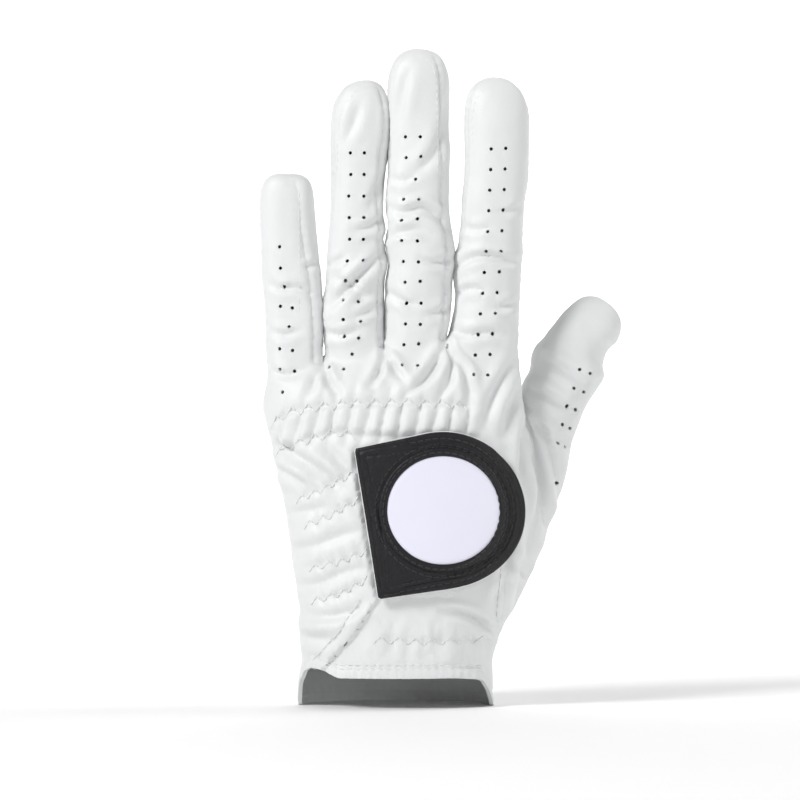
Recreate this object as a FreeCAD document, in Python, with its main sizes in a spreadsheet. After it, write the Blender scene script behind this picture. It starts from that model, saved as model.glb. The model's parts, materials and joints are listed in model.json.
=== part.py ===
"""A golf glove for the left hand, standing on its cuff as if a hand were in it.

+Z runs from the cuff to the fingertips, -Y is the back of the hand and +X is the thumb's side.
The origin is the middle of the wrist opening, at the level of the cuff's lowest edge.

The leather is the gap between two lofted forms, the hand's and one a leather's thickness smaller.
Every flat layer (elastic, hook and loop, tab, label) is the gap between two further offsets of the
same form, so all layers follow the hand's curve. Rigid stretches of leather are parted at the
knuckles by short folding stretches, where the real leather bends.
"""
import FreeCAD
import Part
import math
import os
import Sketcher

doc = FreeCAD.newDocument("golf_glove")
dims = doc.addObject("Spreadsheet::Sheet", "dims")

# Driving dimensions, in millimetres and degrees.
SIZES = [
    ("leather", 0.7),              # wall of the glove leather
    ("part_clearance", 0.3),       # air between pieces that move apart
    ("layer_gap", 0.05),           # air between layers that are sewn or glued together
    # Hand form: height, width, depth and centre of each cross-section.
    ("cuff_width", 58.0), ("cuff_depth", 43.0), ("cuff_side", -0.5), ("cuff_front", 1.0),
    ("wrist_height", 20.0), ("wrist_width", 58.6), ("wrist_depth", 40.0), ("wrist_side", -0.1),
    ("wrist_front", 1.0),
    ("heel_height", 36.0), ("heel_width", 65.0), ("heel_depth", 41.0), ("heel_side", 1.5),
    ("heel_front", 1.5),
    ("ball_height", 58.0), ("ball_width", 75.0), ("ball_depth", 38.0), ("ball_side", 3.0),
    ("ball_front", 1.5),
    ("palm_height", 78.0), ("palm_width", 78.5), ("palm_depth", 33.5), ("palm_side", -0.2),
    ("palm_front", 0.5),
    ("knuckle_height", 92.0), ("knuckle_width", 77.5), ("knuckle_depth", 29.0),
    ("knuckle_side", -1.8), ("knuckle_front", 0.0),
    ("web_height", 103.0), ("web_width", 72.0), ("web_depth", 20.5), ("web_side", -1.9),
    ("web_front", 0.0),
    # Cuff and the line where the back leather meets the palm leather.
    ("hem_height", 3.0), ("hem_swell", 0.5), ("back_rise", 9.0), ("back_edge", -6.0),
    # Folding stretch at the base knuckles.
    ("fold_low", 91.0), ("knuckle_pivot", 97.0), ("root_reach", 7.0), ("root_sink", 3.0),
    # Fingers: place of the root, lean, root and tip sizes, length, middle joint, cap.
    ("little_side", -31.0), ("little_front", 1.5), ("little_lean", -2.3), ("little_width", 16.4),
    ("little_depth", 15.8), ("little_tip_width", 15.2), ("little_tip_depth", 13.4),
    ("little_length", 62.7), ("little_joint", 30.0), ("little_cap", 7.0),
    ("ring_side", -13.5), ("ring_front", 0.8), ("ring_lean", 1.0), ("ring_width", 17.4),
    ("ring_depth", 16.6), ("ring_tip_width", 16.8), ("ring_tip_depth", 14.4),
    ("ring_length", 90.5), ("ring_joint", 43.0), ("ring_cap", 8.5),
    ("middle_side", 5.2), ("middle_front", -0.8), ("middle_lean", 0.6), ("middle_width", 18.0),
    ("middle_depth", 17.0), ("middle_tip_width", 17.6), ("middle_tip_depth", 14.8),
    ("middle_length", 100.1), ("middle_joint", 50.0), ("middle_cap", 9.0),
    ("index_side", 25.3), ("index_front", 0.0), ("index_lean", 2.6), ("index_width", 19.0),
    ("index_depth", 17.0), ("index_tip_width", 18.4), ("index_tip_depth", 14.8),
    ("index_length", 89.8), ("index_joint", 42.0), ("index_cap", 8.0),
    ("fold_half", 7.0), ("sidewall_half", 3.2),
    # Thumb: a chain of four sections, each with its place and lean.
    ("thumb_heel_side", 20.0), ("thumb_heel_front", 7.0), ("thumb_heel_height", 28.0),
    ("thumb_heel_lean", 18.0), ("thumb_heel_width", 18.0), ("thumb_heel_depth", 17.6),
    ("thumb_base_side", 36.0), ("thumb_base_front", 12.0), ("thumb_base_height", 66.0),
    ("thumb_base_lean", 20.0), ("thumb_base_width", 21.6), ("thumb_base_depth", 20.6),
    ("thumb_joint_side", 47.2), ("thumb_joint_front", 15.5), ("thumb_joint_height", 94.0),
    ("thumb_joint_lean", 23.0), ("thumb_joint_width", 20.6), ("thumb_joint_depth", 18.6),
    ("thumb_tip_side", 56.0), ("thumb_tip_front", 16.5), ("thumb_tip_height", 112.0),
    ("thumb_tip_lean", 28.0), ("thumb_tip_width", 19.6), ("thumb_tip_depth", 16.0),
    ("thumb_cap", 10.5), ("thumb_split", 9.5), ("thumb_fold_half", 6.0),
    ("seam_side", 33.0), ("seam_height", 30.0), ("seam_lean", 1.2), ("seam_edge", 4.0),
    ("swing_fold", 6.0),
    # Slit of the back, from the cuff to its apex: the tab is sewn to its little-finger side.
    ("slit_cuff_side", -24.0), ("slit_cuff_height", 9.0),
    ("tab_low_side", -6.6), ("tab_low_height", 32.4),
    ("tab_high_side", -13.7), ("tab_high_height", 77.0),
    ("slit_gap", 0.6), ("facing_width", 8.0), ("facing_over", 2.0), ("facing_thick", 0.5),
    # Closure tab: a D with its round end on the label's centre.
    ("label_side", 12.3), ("label_height", 58.7), ("tab_radius", 23.3),
    ("loop_thick", 0.9), ("hook_thick", 0.7), ("lining_thick", 0.4), ("tab_thick", 0.9),
    ("trim_width", 3.2), ("trim_thick", 0.5), ("label_radius", 15.9), ("frame_width", 1.9),
    ("frame_thick", 0.8), ("label_thick", 0.4),
    ("loop_margin", 2.0), ("loop_left", -2.0), ("loop_wide", 27.0), ("loop_bottom", 29.0),
    ("loop_tall", 46.0),
    ("hook_left", 0.5), ("hook_wide", 27.0), ("hook_bottom", 39.0), ("hook_tall", 37.0),
    # Elastic bands sewn inside.
    ("elastic_thick", 0.7), ("wrist_band_height", 16.5), ("wrist_band_tall", 9.0),
    ("knuckle_band_height", 80.5), ("knuckle_band_tall", 9.0),
    ("side_band_low", 38.0), ("side_band_high", 59.0), ("side_band_tall", 7.0),
    ("palm_band_edge", 6.0), ("side_band_margin", 10.0), ("band_margin", 3.0),
]
for row, (alias, value) in enumerate(SIZES, start=1):
    dims.set(f"A{row}", alias)
    dims.set(f"B{row}", str(value))
    dims.setAlias(f"B{row}", alias)
doc.recompute()

REACH = 260.0          # length of the cutting blocks, well past the glove on every side
HALF = REACH / 2       # the same to one side
FINGERS = ("little", "ring", "middle", "index")
HAND_SECTIONS = ("wrist", "heel", "ball", "palm", "knuckle", "web")
THUMB_SECTIONS = ("thumb_heel", "thumb_base", "thumb_joint", "thumb_tip")
RUN_OUT = 6.0          # how far the forms run on below the cuff, so that cuts are clean
SLIT_RUN_OUT = 12.0    # how far the slit's line runs on below its foot
nodes = []             # the objects that are written, in order


def size(alias):
    """The value of a cell, for the few objects that are made by shape."""
    return float(dims.get(alias))


def cells(text):
    """An expression in the sheet's aliases, with each alias given its sheet's name."""
    words, word = [], ""
    for char in text + " ":
        if char.isalnum() or char == "_":
            word += char
            continue
        if word:
            plain = word[0].isdigit() or word in ("sin", "cos")
            words.append(word if plain else f"dims.{word}")
            word = ""
        words.append(char)
    return "".join(words).strip()


def bind(thing, **values):
    """Binds properties to the sheet. A double underscore in a name is a dot."""
    for name, text in values.items():
        thing.setExpression(name.replace("__", "."), cells(text))
    return thing


def place(thing, x="0", y="0", z="0", lean=None):
    """Binds a placement: a point, and a lean towards +X in degrees."""
    thing.Placement = FreeCAD.Placement(FreeCAD.Vector(), FreeCAD.Rotation(FreeCAD.Vector(0, 1, 0), 1))
    if lean is None:
        thing.Placement = FreeCAD.Placement()
    else:
        bind(thing, Placement__Rotation__Angle=lean)
    return bind(thing, Placement__Base__x=x, Placement__Base__y=y, Placement__Base__z=z)


def ellipse(name, wide, deep, x, y, z, lean=None):
    """A closed cross-section, wide along X and deep along Y."""
    section = doc.addObject("Part::Ellipse", name)
    bind(section, MajorRadius=wide, MinorRadius=deep)
    return place(section, x, y, z, lean)


def loft(name, sections):
    """A closed solid through the sections."""
    solid = doc.addObject("Part::Loft", name)
    solid.Sections = sections
    solid.Solid = True
    solid.Ruled = False
    return solid


def block(name, x, y, z, wide, deep, tall):
    """A cutting block from its lowest corner."""
    solid = doc.addObject("Part::Box", name)
    bind(solid, Length=wide, Width=deep, Height=tall)
    return place(solid, x, y, z)


def cut(name, base, tool):
    solid = doc.addObject("Part::Cut", name)
    solid.Base, solid.Tool = base, tool
    return solid


def both(name, base, tool):
    """What two shapes share."""
    solid = doc.addObject("Part::Common", name)
    solid.Base, solid.Tool = base, tool
    return solid


def common(name, base, *blocks):
    """The stretch of a shape that lies in all of the cutting blocks. The blocks are joined first, so
    that the curved shape is cut only once."""
    region = blocks[0]
    for number, tool in enumerate(blocks[1:], start=1):
        region = both(f"{name}_region_{number}", region, tool)
    return both(name, base, region)


def fuse(name, *shapes):
    solid = doc.addObject("Part::MultiFuse", name)
    solid.Shapes = list(shapes)
    return solid


def node(thing, label):
    """Marks an object as a piece of the glove, under the name of its file."""
    thing.Label = label
    nodes.append(thing)
    return thing


# ---- The hand's form and its layers ---------------------------------------------------------

def hand_form(name, offset):
    """The hand's form, grown by an offset all round: a solid loft from below the cuff to the web."""
    grown = {"wide": "{0}_width/2+" + offset, "deep": "{0}_depth/2+" + offset}
    sections = []
    for end, height in (("low", f"0-{RUN_OUT}"), ("cuff", "0")):
        sections.append(ellipse(f"{name}_{end}", grown["wide"].format("cuff"), grown["deep"].format("cuff"),
                                "cuff_side", "cuff_front", height))
    for part in HAND_SECTIONS:
        height = f"{part}_height" + (f"+({offset})" if part == "web" else "")
        sections.append(ellipse(f"{name}_{part}", grown["wide"].format(part), grown["deep"].format(part),
                                f"{part}_side", f"{part}_front", height))
    return loft(name, sections)


def layer(name, low, high):
    """The gap between two offsets of the hand's form."""
    return cut(name, hand_form(f"{name}_over", high), hand_form(f"{name}_under", low))


def sketch_prism(name, points, arcs=()):
    """A prism along Y, through the back of the hand, over an outline of points (x, z) as
    expressions. Each arc is (start point, end point, centre, radius), run anticlockwise."""
    sketch = doc.addObject("Sketcher::SketchObject", f"{name}_outline")
    sketch.Placement = FreeCAD.Placement(FreeCAD.Vector(), FreeCAD.Rotation(FreeCAD.Vector(1, 0, 0), 90))
    ends = []
    curved = {start: (end, centre, radius) for start, end, centre, radius in arcs}
    flat = [tuple(value(t) for t in point) for point in points]
    for index, start in enumerate(flat):
        end = flat[(index + 1) % len(flat)]
        if index in curved:
            _, centre, radius = curved[index]
            middle = [value(t) for t in centre]
            angles = [math.atan2(p[1] - middle[1], p[0] - middle[0]) for p in (start, end)]
            circle = Part.Circle(FreeCAD.Vector(*middle, 0), FreeCAD.Vector(0, 0, 1), value(radius))
            if angles[1] < angles[0]:
                angles[1] += 2 * math.pi
            ends.append(sketch.addGeometry(Part.ArcOfCircle(circle, *angles), False))
        else:
            ends.append(sketch.addGeometry(Part.LineSegment(FreeCAD.Vector(*start, 0),
                                                            FreeCAD.Vector(*end, 0)), False))
    for index, line in enumerate(ends):
        after = ends[(index + 1) % len(ends)]
        smooth = index in curved or (index + 1) % len(ends) in curved
        sketch.addConstraint(Sketcher.Constraint("Tangent" if smooth else "Coincident", line, 2, after, 1))
    for index, line in enumerate(ends):
        if index in curved:
            _, centre, radius = curved[index]
            for axis, text in zip(("DistanceX", "DistanceY"), centre):
                add_size(sketch, axis, (-1, 1, line, 3), text)
            add_size(sketch, "Radius", (line,), radius)
        elif (index - 1) % len(ends) not in curved:
            for axis, text in zip(("DistanceX", "DistanceY"), points[index]):
                add_size(sketch, axis, (-1, 1, line, 1), text)
    doc.recompute()
    prism = doc.addObject("Part::Extrusion", name)
    prism.Base = sketch
    prism.DirMode = "Custom"
    prism.Dir = FreeCAD.Vector(0, -1, 0)
    prism.LengthFwd = HALF
    prism.Solid = True
    return prism


def value(text):
    """The number that an expression in the sheet's aliases has now."""
    known = {alias: size(alias) for alias, _ in SIZES}
    total, sign, word = 0.0, 1.0, ""
    for char in text.replace(" ", "") + "+":
        if char in "+-" and word:
            number = known[word] if word in known else float(word)
            total, sign, word = total + sign * number, -1.0 if char == "-" else 1.0, ""
        elif char in "+-":
            sign = -1.0 if char == "-" else 1.0
        else:
            word += char
    return total


def add_size(sketch, kind, where, text):
    """A sketch dimension that is bound to the sheet."""
    number = sketch.addConstraint(Sketcher.Constraint(kind, *where, value(text)))
    sketch.setExpression(f"Constraints[{number}]", cells(text))


hand_outer = hand_form("hand_outer", "0")
hand_inner = hand_form("hand_inner", "(0-leather)")
hand_shell = cut("hand_shell", hand_outer, hand_inner)


# ---- Thumb ------------------------------------------------------------------------------------

def thumb_form(name, offset):
    """The thumb's form, grown by an offset: a loft through its sections and a rounded cap."""
    sections = [
        ellipse(f"{name}_{part}", f"{part}_width/2+{offset}", f"{part}_depth/2+{offset}",
                f"{part}_side", f"{part}_front", f"{part}_height", f"{part}_lean")
        for part in THUMB_SECTIONS
    ]
    cap = doc.addObject("Part::Ellipsoid", f"{name}_cap")
    cap.Angle1 = 0
    bind(cap, Radius1=f"thumb_cap+{offset}", Radius2=f"thumb_tip_width/2+{offset}",
         Radius3=f"thumb_tip_depth/2+{offset}")
    place(cap, "thumb_tip_side", "thumb_tip_front", "thumb_tip_height", "thumb_tip_lean")
    return fuse(name, loft(f"{name}_tube", sections), cap)


def thumb_slab(name, low, high):
    """Space between two planes across the thumb, measured from its joint."""
    slab = doc.addObject("Part::Box", name)
    slab.Length = slab.Width = REACH
    bind(slab, Height=f"({high})-({low})")
    place(slab, lean="thumb_joint_lean")
    sin, cos = "sin(thumb_joint_lean*1deg)", "cos(thumb_joint_lean*1deg)"
    return bind(slab, Placement__Base__x=f"thumb_joint_side+({low})*{sin}-{HALF}*{cos}",
                Placement__Base__y=f"0-{HALF}",
                Placement__Base__z=f"thumb_joint_height+({low})*{cos}+{HALF}*{sin}")


thumb_outer = thumb_form("thumb_outer", "0")
thumb_inner = thumb_form("thumb_inner", "(0-leather)")
thumb_shell = cut("thumb_shell", thumb_outer, thumb_inner)

def seam_block(name, shift, wide, line):
    """Space beside the seam where the thumb's leather is set into the hand's: a leaning plane above
    the heel, on the palm's side of a line down the hand's edge."""
    zone = doc.addObject("Part::Box", name)
    zone.Width = zone.Height = REACH
    bind(zone, Length=wide)
    return place(zone, f"seam_side+{shift}", line, "seam_height", "seam_lean")


thumb_zone = seam_block("thumb_zone", "0", f"{HALF}", "seam_edge")
swing_zone = seam_block("swing_zone", "0", "swing_fold", "seam_edge+part_clearance")
rigid_zone = seam_block("rigid_zone", "swing_fold+layer_gap", f"{HALF}", "seam_edge+part_clearance")
thumb_front_half = block("thumb_palm_side", f"0-{HALF}", "thumb_split", "0",
                         f"{REACH}", f"{REACH}", f"{REACH}")
thumb_back_half = block("thumb_back_side", f"0-{HALF}", f"thumb_split-{REACH}", "0",
                        f"{REACH}", f"{REACH}", f"{REACH}")
below_thumb_joint = thumb_slab("below_thumb_joint", f"0-{HALF}", "0-thumb_fold_half")
at_thumb_joint = thumb_slab("at_thumb_joint", "0-thumb_fold_half", "thumb_fold_half")
past_thumb_joint = thumb_slab("past_thumb_joint", "thumb_fold_half", f"{HALF}")

node(common("swing_fold_piece", thumb_shell, swing_zone, below_thumb_joint), "thumb_base_fold")
node(common("thumb_lower_piece", thumb_shell, rigid_zone, below_thumb_joint), "thumb_lower")
node(common("thumb_fold_piece", thumb_shell, at_thumb_joint), "thumb_fold")
node(common("thumb_tip_back_piece", thumb_shell, thumb_back_half, past_thumb_joint), "thumb_tip_back")
node(common("thumb_tip_palm_piece", thumb_shell, thumb_front_half, past_thumb_joint), "thumb_tip_palm")

# ---- Back, palm, cuff and the slit --------------------------------------------------------------

back_side = block("back_side", f"0-{HALF}", f"back_edge-{REACH}", "0", f"{REACH}", f"{REACH}",
                  f"{REACH}")
palm_side = block("palm_side", f"0-{HALF}", "back_edge", "0", f"{REACH}", f"{REACH}", f"{REACH}")


def level(name, low, high):
    """Space between two heights."""
    return block(name, f"0-{HALF}", f"0-{HALF}", low, f"{REACH}", f"{REACH}",
                 f"({high})-({low})")


def along_slit(name, left, right):
    """A strip along the slit's line, from left to right of it, as a prism through the back. Below
    the slit's foot it runs straight down past the cuff."""
    line = (("slit_cuff_side", f"slit_cuff_height-{SLIT_RUN_OUT}"), ("slit_cuff_side", "slit_cuff_height"),
            ("tab_low_side", "tab_low_height"), ("tab_high_side", "tab_high_height"))
    near = [(f"{x}{left}", z) for x, z in line]
    far = [(f"{x}{right}", z) for x, z in reversed(line)]
    return sketch_prism(name, near + far)


slit = along_slit("slit", "", "+slit_gap")
back_block = both("back_block", back_side, level("back_level", "back_rise+hem_height", "fold_low"))
node(common("back_piece", hand_shell, cut("back_region", back_block, slit)), "back_panel")
palm_block = both("palm_block", palm_side, level("palm_level", "hem_height", "fold_low"))
node(common("palm_piece", hand_shell, cut("palm_region", palm_block, thumb_zone)), "palm_panel")

hem_ring = layer("hem_ring", "(0-leather-hem_swell)", "hem_swell")
hem_level = level("back_hem_level", "back_rise", "back_rise+hem_height")
node(common("back_hem_piece", hem_ring, back_side, hem_level,
            along_slit("hem_right", "+slit_gap", f"+{HALF}")), "cuff_hem_back")
node(common("side_hem_piece", hem_ring, back_side, hem_level,
            along_slit("hem_left", f"-{HALF}", "")), "cuff_hem_side")
node(common("palm_hem_piece", hem_ring, palm_side, level("palm_hem_level", "0", "hem_height")),
     "cuff_hem_palm")

facing_ring = layer("facing_ring", "(0-leather-layer_gap-facing_thick)", "(0-leather-layer_gap)")
node(common("facing_piece", facing_ring, along_slit("facing_strip", "-facing_width", "+slit_gap+facing_over"),
            back_side, level("facing_level", "back_rise+hem_height+layer_gap", "tab_high_height")),
     "slit_facing")

# ---- Elastic bands sewn inside ------------------------------------------------------------------

elastic_ring = layer("elastic_ring", "(0-leather-layer_gap-elastic_thick)", "(0-leather-layer_gap)")
right_of_slit = along_slit("right_of_slit", "+slit_gap+band_margin", f"+{HALF}")
left_of_slit = along_slit("left_of_slit", f"-{HALF}", "-side_band_margin")
node(common("wrist_back_band", elastic_ring, back_side, right_of_slit,
            level("wrist_level", "wrist_band_height", "wrist_band_height+wrist_band_tall")),
     "wrist_elastic_back")
palm_band = block("palm_band_block", f"0-{HALF}", "palm_band_edge", "0", f"{REACH}", f"{REACH}",
                  f"{REACH}")
node(common("wrist_palm_band", elastic_ring, palm_band,
            level("wrist_palm_level", "wrist_band_height", "wrist_band_height+wrist_band_tall")),
     "wrist_elastic_palm")
node(common("knuckle_band", elastic_ring, back_side,
            level("knuckle_level", "knuckle_band_height", "knuckle_band_height+knuckle_band_tall")),
     "knuckle_elastic")
for end in ("low", "high"):
    node(common(f"side_band_{end}_piece", elastic_ring, back_side, left_of_slit,
                level(f"side_level_{end}", f"side_band_{end}", f"side_band_{end}+side_band_tall")),
         f"side_elastic_{end}")

# ---- Closure tab ----------------------------------------------------------------------------------

LOOP_TOP = "layer_gap+loop_thick"
HOOK_LOW = f"{LOOP_TOP}+part_clearance"
HOOK_TOP = f"{HOOK_LOW}+hook_thick"
LINING_LOW = f"{HOOK_TOP}+layer_gap"
LINING_TOP = f"{LINING_LOW}+lining_thick"
TAB_LOW = f"{LINING_TOP}+layer_gap"
TAB_TOP = f"{TAB_LOW}+tab_thick"
FACE_LOW = f"{TAB_TOP}+layer_gap"


def tab_outline(name, inset, root):
    """The D of the tab, inset from its round edge, with its straight edge moved by root. The two
    points where the flanks meet the round are a first guess, which the tangents then settle."""
    high = (f"tab_high_side{root}", f"tab_high_height-{inset}")
    low = (f"tab_low_side{root}", f"tab_low_height+{inset}")
    top = ("label_side-2", f"label_height+tab_radius-{inset}")
    bottom = ("label_side+2", f"label_height-tab_radius+{inset}")
    centre = ("label_side", "label_height")
    return sketch_prism(name, [high, low, bottom, top], [(2, 3, centre, f"tab_radius-{inset}")])


def front_disc(name, radius):
    """A round prism through the back of the hand, on the label's centre."""
    disc = doc.addObject("Part::Cylinder", name)
    disc.Height = HALF
    bind(disc, Radius=radius)
    disc.Placement = FreeCAD.Placement(FreeCAD.Vector(), FreeCAD.Rotation(FreeCAD.Vector(1, 0, 0), 90))
    return bind(disc, Placement__Base__x="label_side", Placement__Base__z="label_height")


front_half = block("front_half", f"0-{HALF}", f"0-{REACH}", "0", f"{REACH}", f"{REACH}", f"{REACH}")
tab_d = tab_outline("tab_d", "0", "+part_clearance")
loop_block = block("loop_block", "loop_left", f"0-{REACH}", "loop_bottom", "loop_wide", f"{REACH}",
                   "loop_tall")
hook_block = block("hook_block", "hook_left", f"0-{REACH}", "hook_bottom", "hook_wide", f"{REACH}",
                   "hook_tall")
loop_strip = along_slit("loop_strip", "+slit_gap+loop_margin", f"+{HALF}")
node(common("loop_piece", layer("loop_ring", "layer_gap", LOOP_TOP), loop_block, loop_strip), "loop_patch")
node(common("hook_piece", layer("hook_ring", HOOK_LOW, HOOK_TOP), hook_block, tab_d), "hook_patch")
node(common("lining_piece", layer("lining_ring", LINING_LOW, LINING_TOP), tab_d), "tab_lining")
node(common("tab_piece", layer("tab_ring", TAB_LOW, TAB_TOP), tab_d), "tab_leather")
trim_d = cut("trim_d", tab_d, tab_outline("trim_inner_d", "trim_width", "-1"))
trim_ring = layer("trim_ring", FACE_LOW, f"{FACE_LOW}+trim_thick")
node(common("trim_piece", trim_ring, trim_d), "tab_trim")
frame_disc = cut("frame_disc", front_disc("frame_outer", "label_radius+layer_gap+frame_width"),
                 front_disc("frame_inner", "label_radius+layer_gap"))
frame_ring = layer("frame_ring", FACE_LOW, f"{FACE_LOW}+frame_thick")
node(common("frame_piece", frame_ring, frame_disc, front_half), "label_frame")
label_ring = layer("label_ring", FACE_LOW, f"{FACE_LOW}+label_thick")
node(common("label_piece", label_ring, front_disc("label_round", "label_radius"), front_half), "label_disc")

# ---- Fingers ----------------------------------------------------------------------------------------
# Each finger is made upright about the Z axis, with zero height at the base knuckles, then placed.


def finger_form(finger, name, offset):
    """The finger's form, grown by an offset: a tapered tube with a rounded cap."""
    start = f"0-root_sink+({offset})"
    top = f"{finger}_length-{finger}_cap"
    halfway = f"({top})/2"
    sections = [
        ellipse(f"{name}_root", f"{finger}_width/2+{offset}", f"{finger}_depth/2+{offset}", "0", "0", start),
        ellipse(f"{name}_mid", f"({finger}_width+{finger}_tip_width)/4+{offset}",
                f"({finger}_depth+{finger}_tip_depth)/4+{offset}", "0", "0", halfway),
        ellipse(f"{name}_end", f"{finger}_tip_width/2+{offset}", f"{finger}_tip_depth/2+{offset}",
                "0", "0", top),
    ]
    cap = doc.addObject("Part::Ellipsoid", f"{name}_cap")
    cap.Angle1 = 0
    bind(cap, Radius1=f"{finger}_cap+{offset}", Radius2=f"{finger}_tip_width/2+{offset}",
         Radius3=f"{finger}_tip_depth/2+{offset}")
    place(cap, "0", "0", top)
    return fuse(name, loft(f"{name}_tube", sections), cap)


def finger_place(thing, finger):
    """Stands a finger's piece on the base knuckles with its lean."""
    return place(thing, f"{finger}_side", f"{finger}_front", "knuckle_pivot", f"{finger}_lean")


def side_block(name, x, y, wide, deep, low, high):
    return block(name, x, y, low, wide, deep, f"({high})-({low})")


# Which sides of a finger have a side wall of their own, by the neighbour they face. On the outer side
# of the index and of the little finger the back leather reaches round instead.
SIDEWALLS = {"little": ("index",), "ring": ("little", "index"), "middle": ("little", "index"),
             "index": ("little",)}


def finger_pieces(finger):
    """The leather of one finger: back, palm and side walls below and above its middle joint,
    and the folding ring between them. The palm leather reaches over the fingertip."""
    outer, inner = (finger_form(finger, f"{finger}_{skin}", offset)
                    for skin, offset in (("outer", "0"), ("inner", "(0-leather)")))
    shell = cut(f"{finger}_shell", outer, inner)
    half, wall, joint = f"{HALF}", "sidewall_half", f"{finger}_joint"
    top = f"{finger}_length-{finger}_cap"
    stretches = {"lower": ("root_reach", f"{joint}-fold_half", f"{joint}-fold_half"),
                 "upper": (f"{joint}+fold_half", f"{HALF}", top)}
    for stretch, (low, high, wall_high) in stretches.items():
        name = f"{finger}_{stretch}"
        back = [side_block(f"{name}_b", f"0-{half}", f"0-{half}", f"{REACH}", f"{half}-{wall}", low, high)]
        palm = [side_block(f"{name}_p", f"0-{half}", wall, f"{REACH}", half, low, high)]
        if stretch == "upper":
            palm.append(side_block(f"{name}_over", f"0-{half}", f"0-{wall}", f"{REACH}", f"2*{wall}",
                                   top, high))
        regions = {}
        for side, x in (("little", f"0-{half}"), ("index", "0")):
            wall_block = side_block(f"{name}_{side}_w", x, f"0-{wall}", half, f"2*{wall}", low, wall_high)
            if side in SIDEWALLS[finger]:
                regions[f"sidewall_to_{side}"] = wall_block
            else:
                back.append(wall_block)
        regions["back"] = fuse(f"{name}_back_region", *back) if len(back) > 1 else back[0]
        regions["palm"] = fuse(f"{name}_palm_region", *palm) if len(palm) > 1 else palm[0]
        for part, region in regions.items():
            piece = common(f"{finger}_{part}_{stretch}_piece", shell, region)
            node(finger_place(piece, finger), f"{finger}_{part}_{stretch}")
    ring = side_block(f"{finger}_joint_slab", f"0-{half}", f"0-{half}", f"{REACH}", f"{REACH}",
                      f"{joint}-fold_half", f"{joint}+fold_half")
    node(finger_place(common(f"{finger}_joint_piece", shell, ring), finger), f"{finger}_joint_fold")
    root = side_block(f"{finger}_root_slab", f"0-{half}", f"0-{half}", f"{REACH}", f"{REACH}",
                      f"0-{half}", "root_reach")
    roots = [finger_place(common(f"{finger}_{skin}_root", form, root), finger)
             for skin, form in (("outer", outer), ("inner", inner))]
    return roots


outer_roots, inner_roots = zip(*(finger_pieces(finger) for finger in FINGERS))

# The folding stretch at the base knuckles: the top of the hand with the four finger roots.
knuckle_level = level("knuckle_fold_level", "fold_low", f"{HALF}")
knuckle_shell = cut("knuckle_shell", fuse("knuckle_outer", hand_outer, *outer_roots),
                    fuse("knuckle_inner", hand_inner, *inner_roots))
node(common("knuckle_back_piece", knuckle_shell, knuckle_level, back_side), "knuckle_fold_back")
node(common("knuckle_palm_piece", knuckle_shell, knuckle_level, palm_side), "knuckle_fold_palm")

# ---- Check and write ----------------------------------------------------------------------------------

doc.recompute()
failed = [thing.Label for thing in doc.Objects if {"Invalid", "Error"} & set(thing.State)]
if failed:
    raise RuntimeError(f"these objects failed: {failed}")
os.makedirs("parts", exist_ok=True)
for piece in nodes:
    shape = piece.Shape
    if shape.isNull() or not shape.isValid() or not shape.Solids:
        raise RuntimeError(f"{piece.Label} has no valid solid")
    shape.exportStep(os.path.join("parts", f"{piece.Label}.step"))
print(f"{len(nodes)} nodes, {sum(len(piece.Shape.Solids) for piece in nodes)} solids")
for piece in nodes:
    if len(piece.Shape.Solids) != 1:
        print(f"{piece.Label}: {len(piece.Shape.Solids)} solids")
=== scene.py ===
"""The look of a golf glove for the left hand, standing as if a hand were in it.

The script is a Blender add-on that is run as a script. Lengths in its tables are in millimetres, in
the glove's own frame: +Z to the fingertips, -Y out of the back of the hand, +X to the thumb's side.
"""
import json
import math
import bpy
import numpy as np
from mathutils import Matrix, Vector, noise
from mathutils.bvhtree import BVHTree

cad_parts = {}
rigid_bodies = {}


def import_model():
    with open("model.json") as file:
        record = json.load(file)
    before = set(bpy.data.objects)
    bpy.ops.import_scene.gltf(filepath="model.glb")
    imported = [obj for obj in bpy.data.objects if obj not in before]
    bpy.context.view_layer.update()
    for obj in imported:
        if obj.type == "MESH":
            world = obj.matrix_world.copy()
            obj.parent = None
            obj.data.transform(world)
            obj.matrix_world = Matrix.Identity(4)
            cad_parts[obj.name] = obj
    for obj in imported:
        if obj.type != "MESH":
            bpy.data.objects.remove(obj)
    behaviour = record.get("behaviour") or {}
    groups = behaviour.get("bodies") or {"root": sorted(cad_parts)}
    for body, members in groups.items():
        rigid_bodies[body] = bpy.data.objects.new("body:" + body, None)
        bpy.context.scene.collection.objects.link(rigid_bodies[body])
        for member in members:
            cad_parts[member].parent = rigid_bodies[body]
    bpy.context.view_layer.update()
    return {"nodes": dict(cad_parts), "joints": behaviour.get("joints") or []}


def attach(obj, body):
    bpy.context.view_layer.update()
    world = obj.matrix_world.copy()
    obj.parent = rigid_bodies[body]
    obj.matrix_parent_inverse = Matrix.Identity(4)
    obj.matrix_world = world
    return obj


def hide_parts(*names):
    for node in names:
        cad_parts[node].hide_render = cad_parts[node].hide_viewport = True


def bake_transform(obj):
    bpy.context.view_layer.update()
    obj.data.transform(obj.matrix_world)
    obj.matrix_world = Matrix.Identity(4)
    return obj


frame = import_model()

bl_info = {
    "name": "Golf Glove",
    "version": (1, 0, 0),
    "blender": (4, 2, 0),
    "location": "View3D > Sidebar > Golf Glove",
    "description": "Builds a worn golf glove round its CAD frame",
    "category": "Add Mesh",
}

MM = 0.001
FINGERS = ("little", "ring", "middle", "index")
glove = {}             # the base form and its fields, shared by the operators

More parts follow.
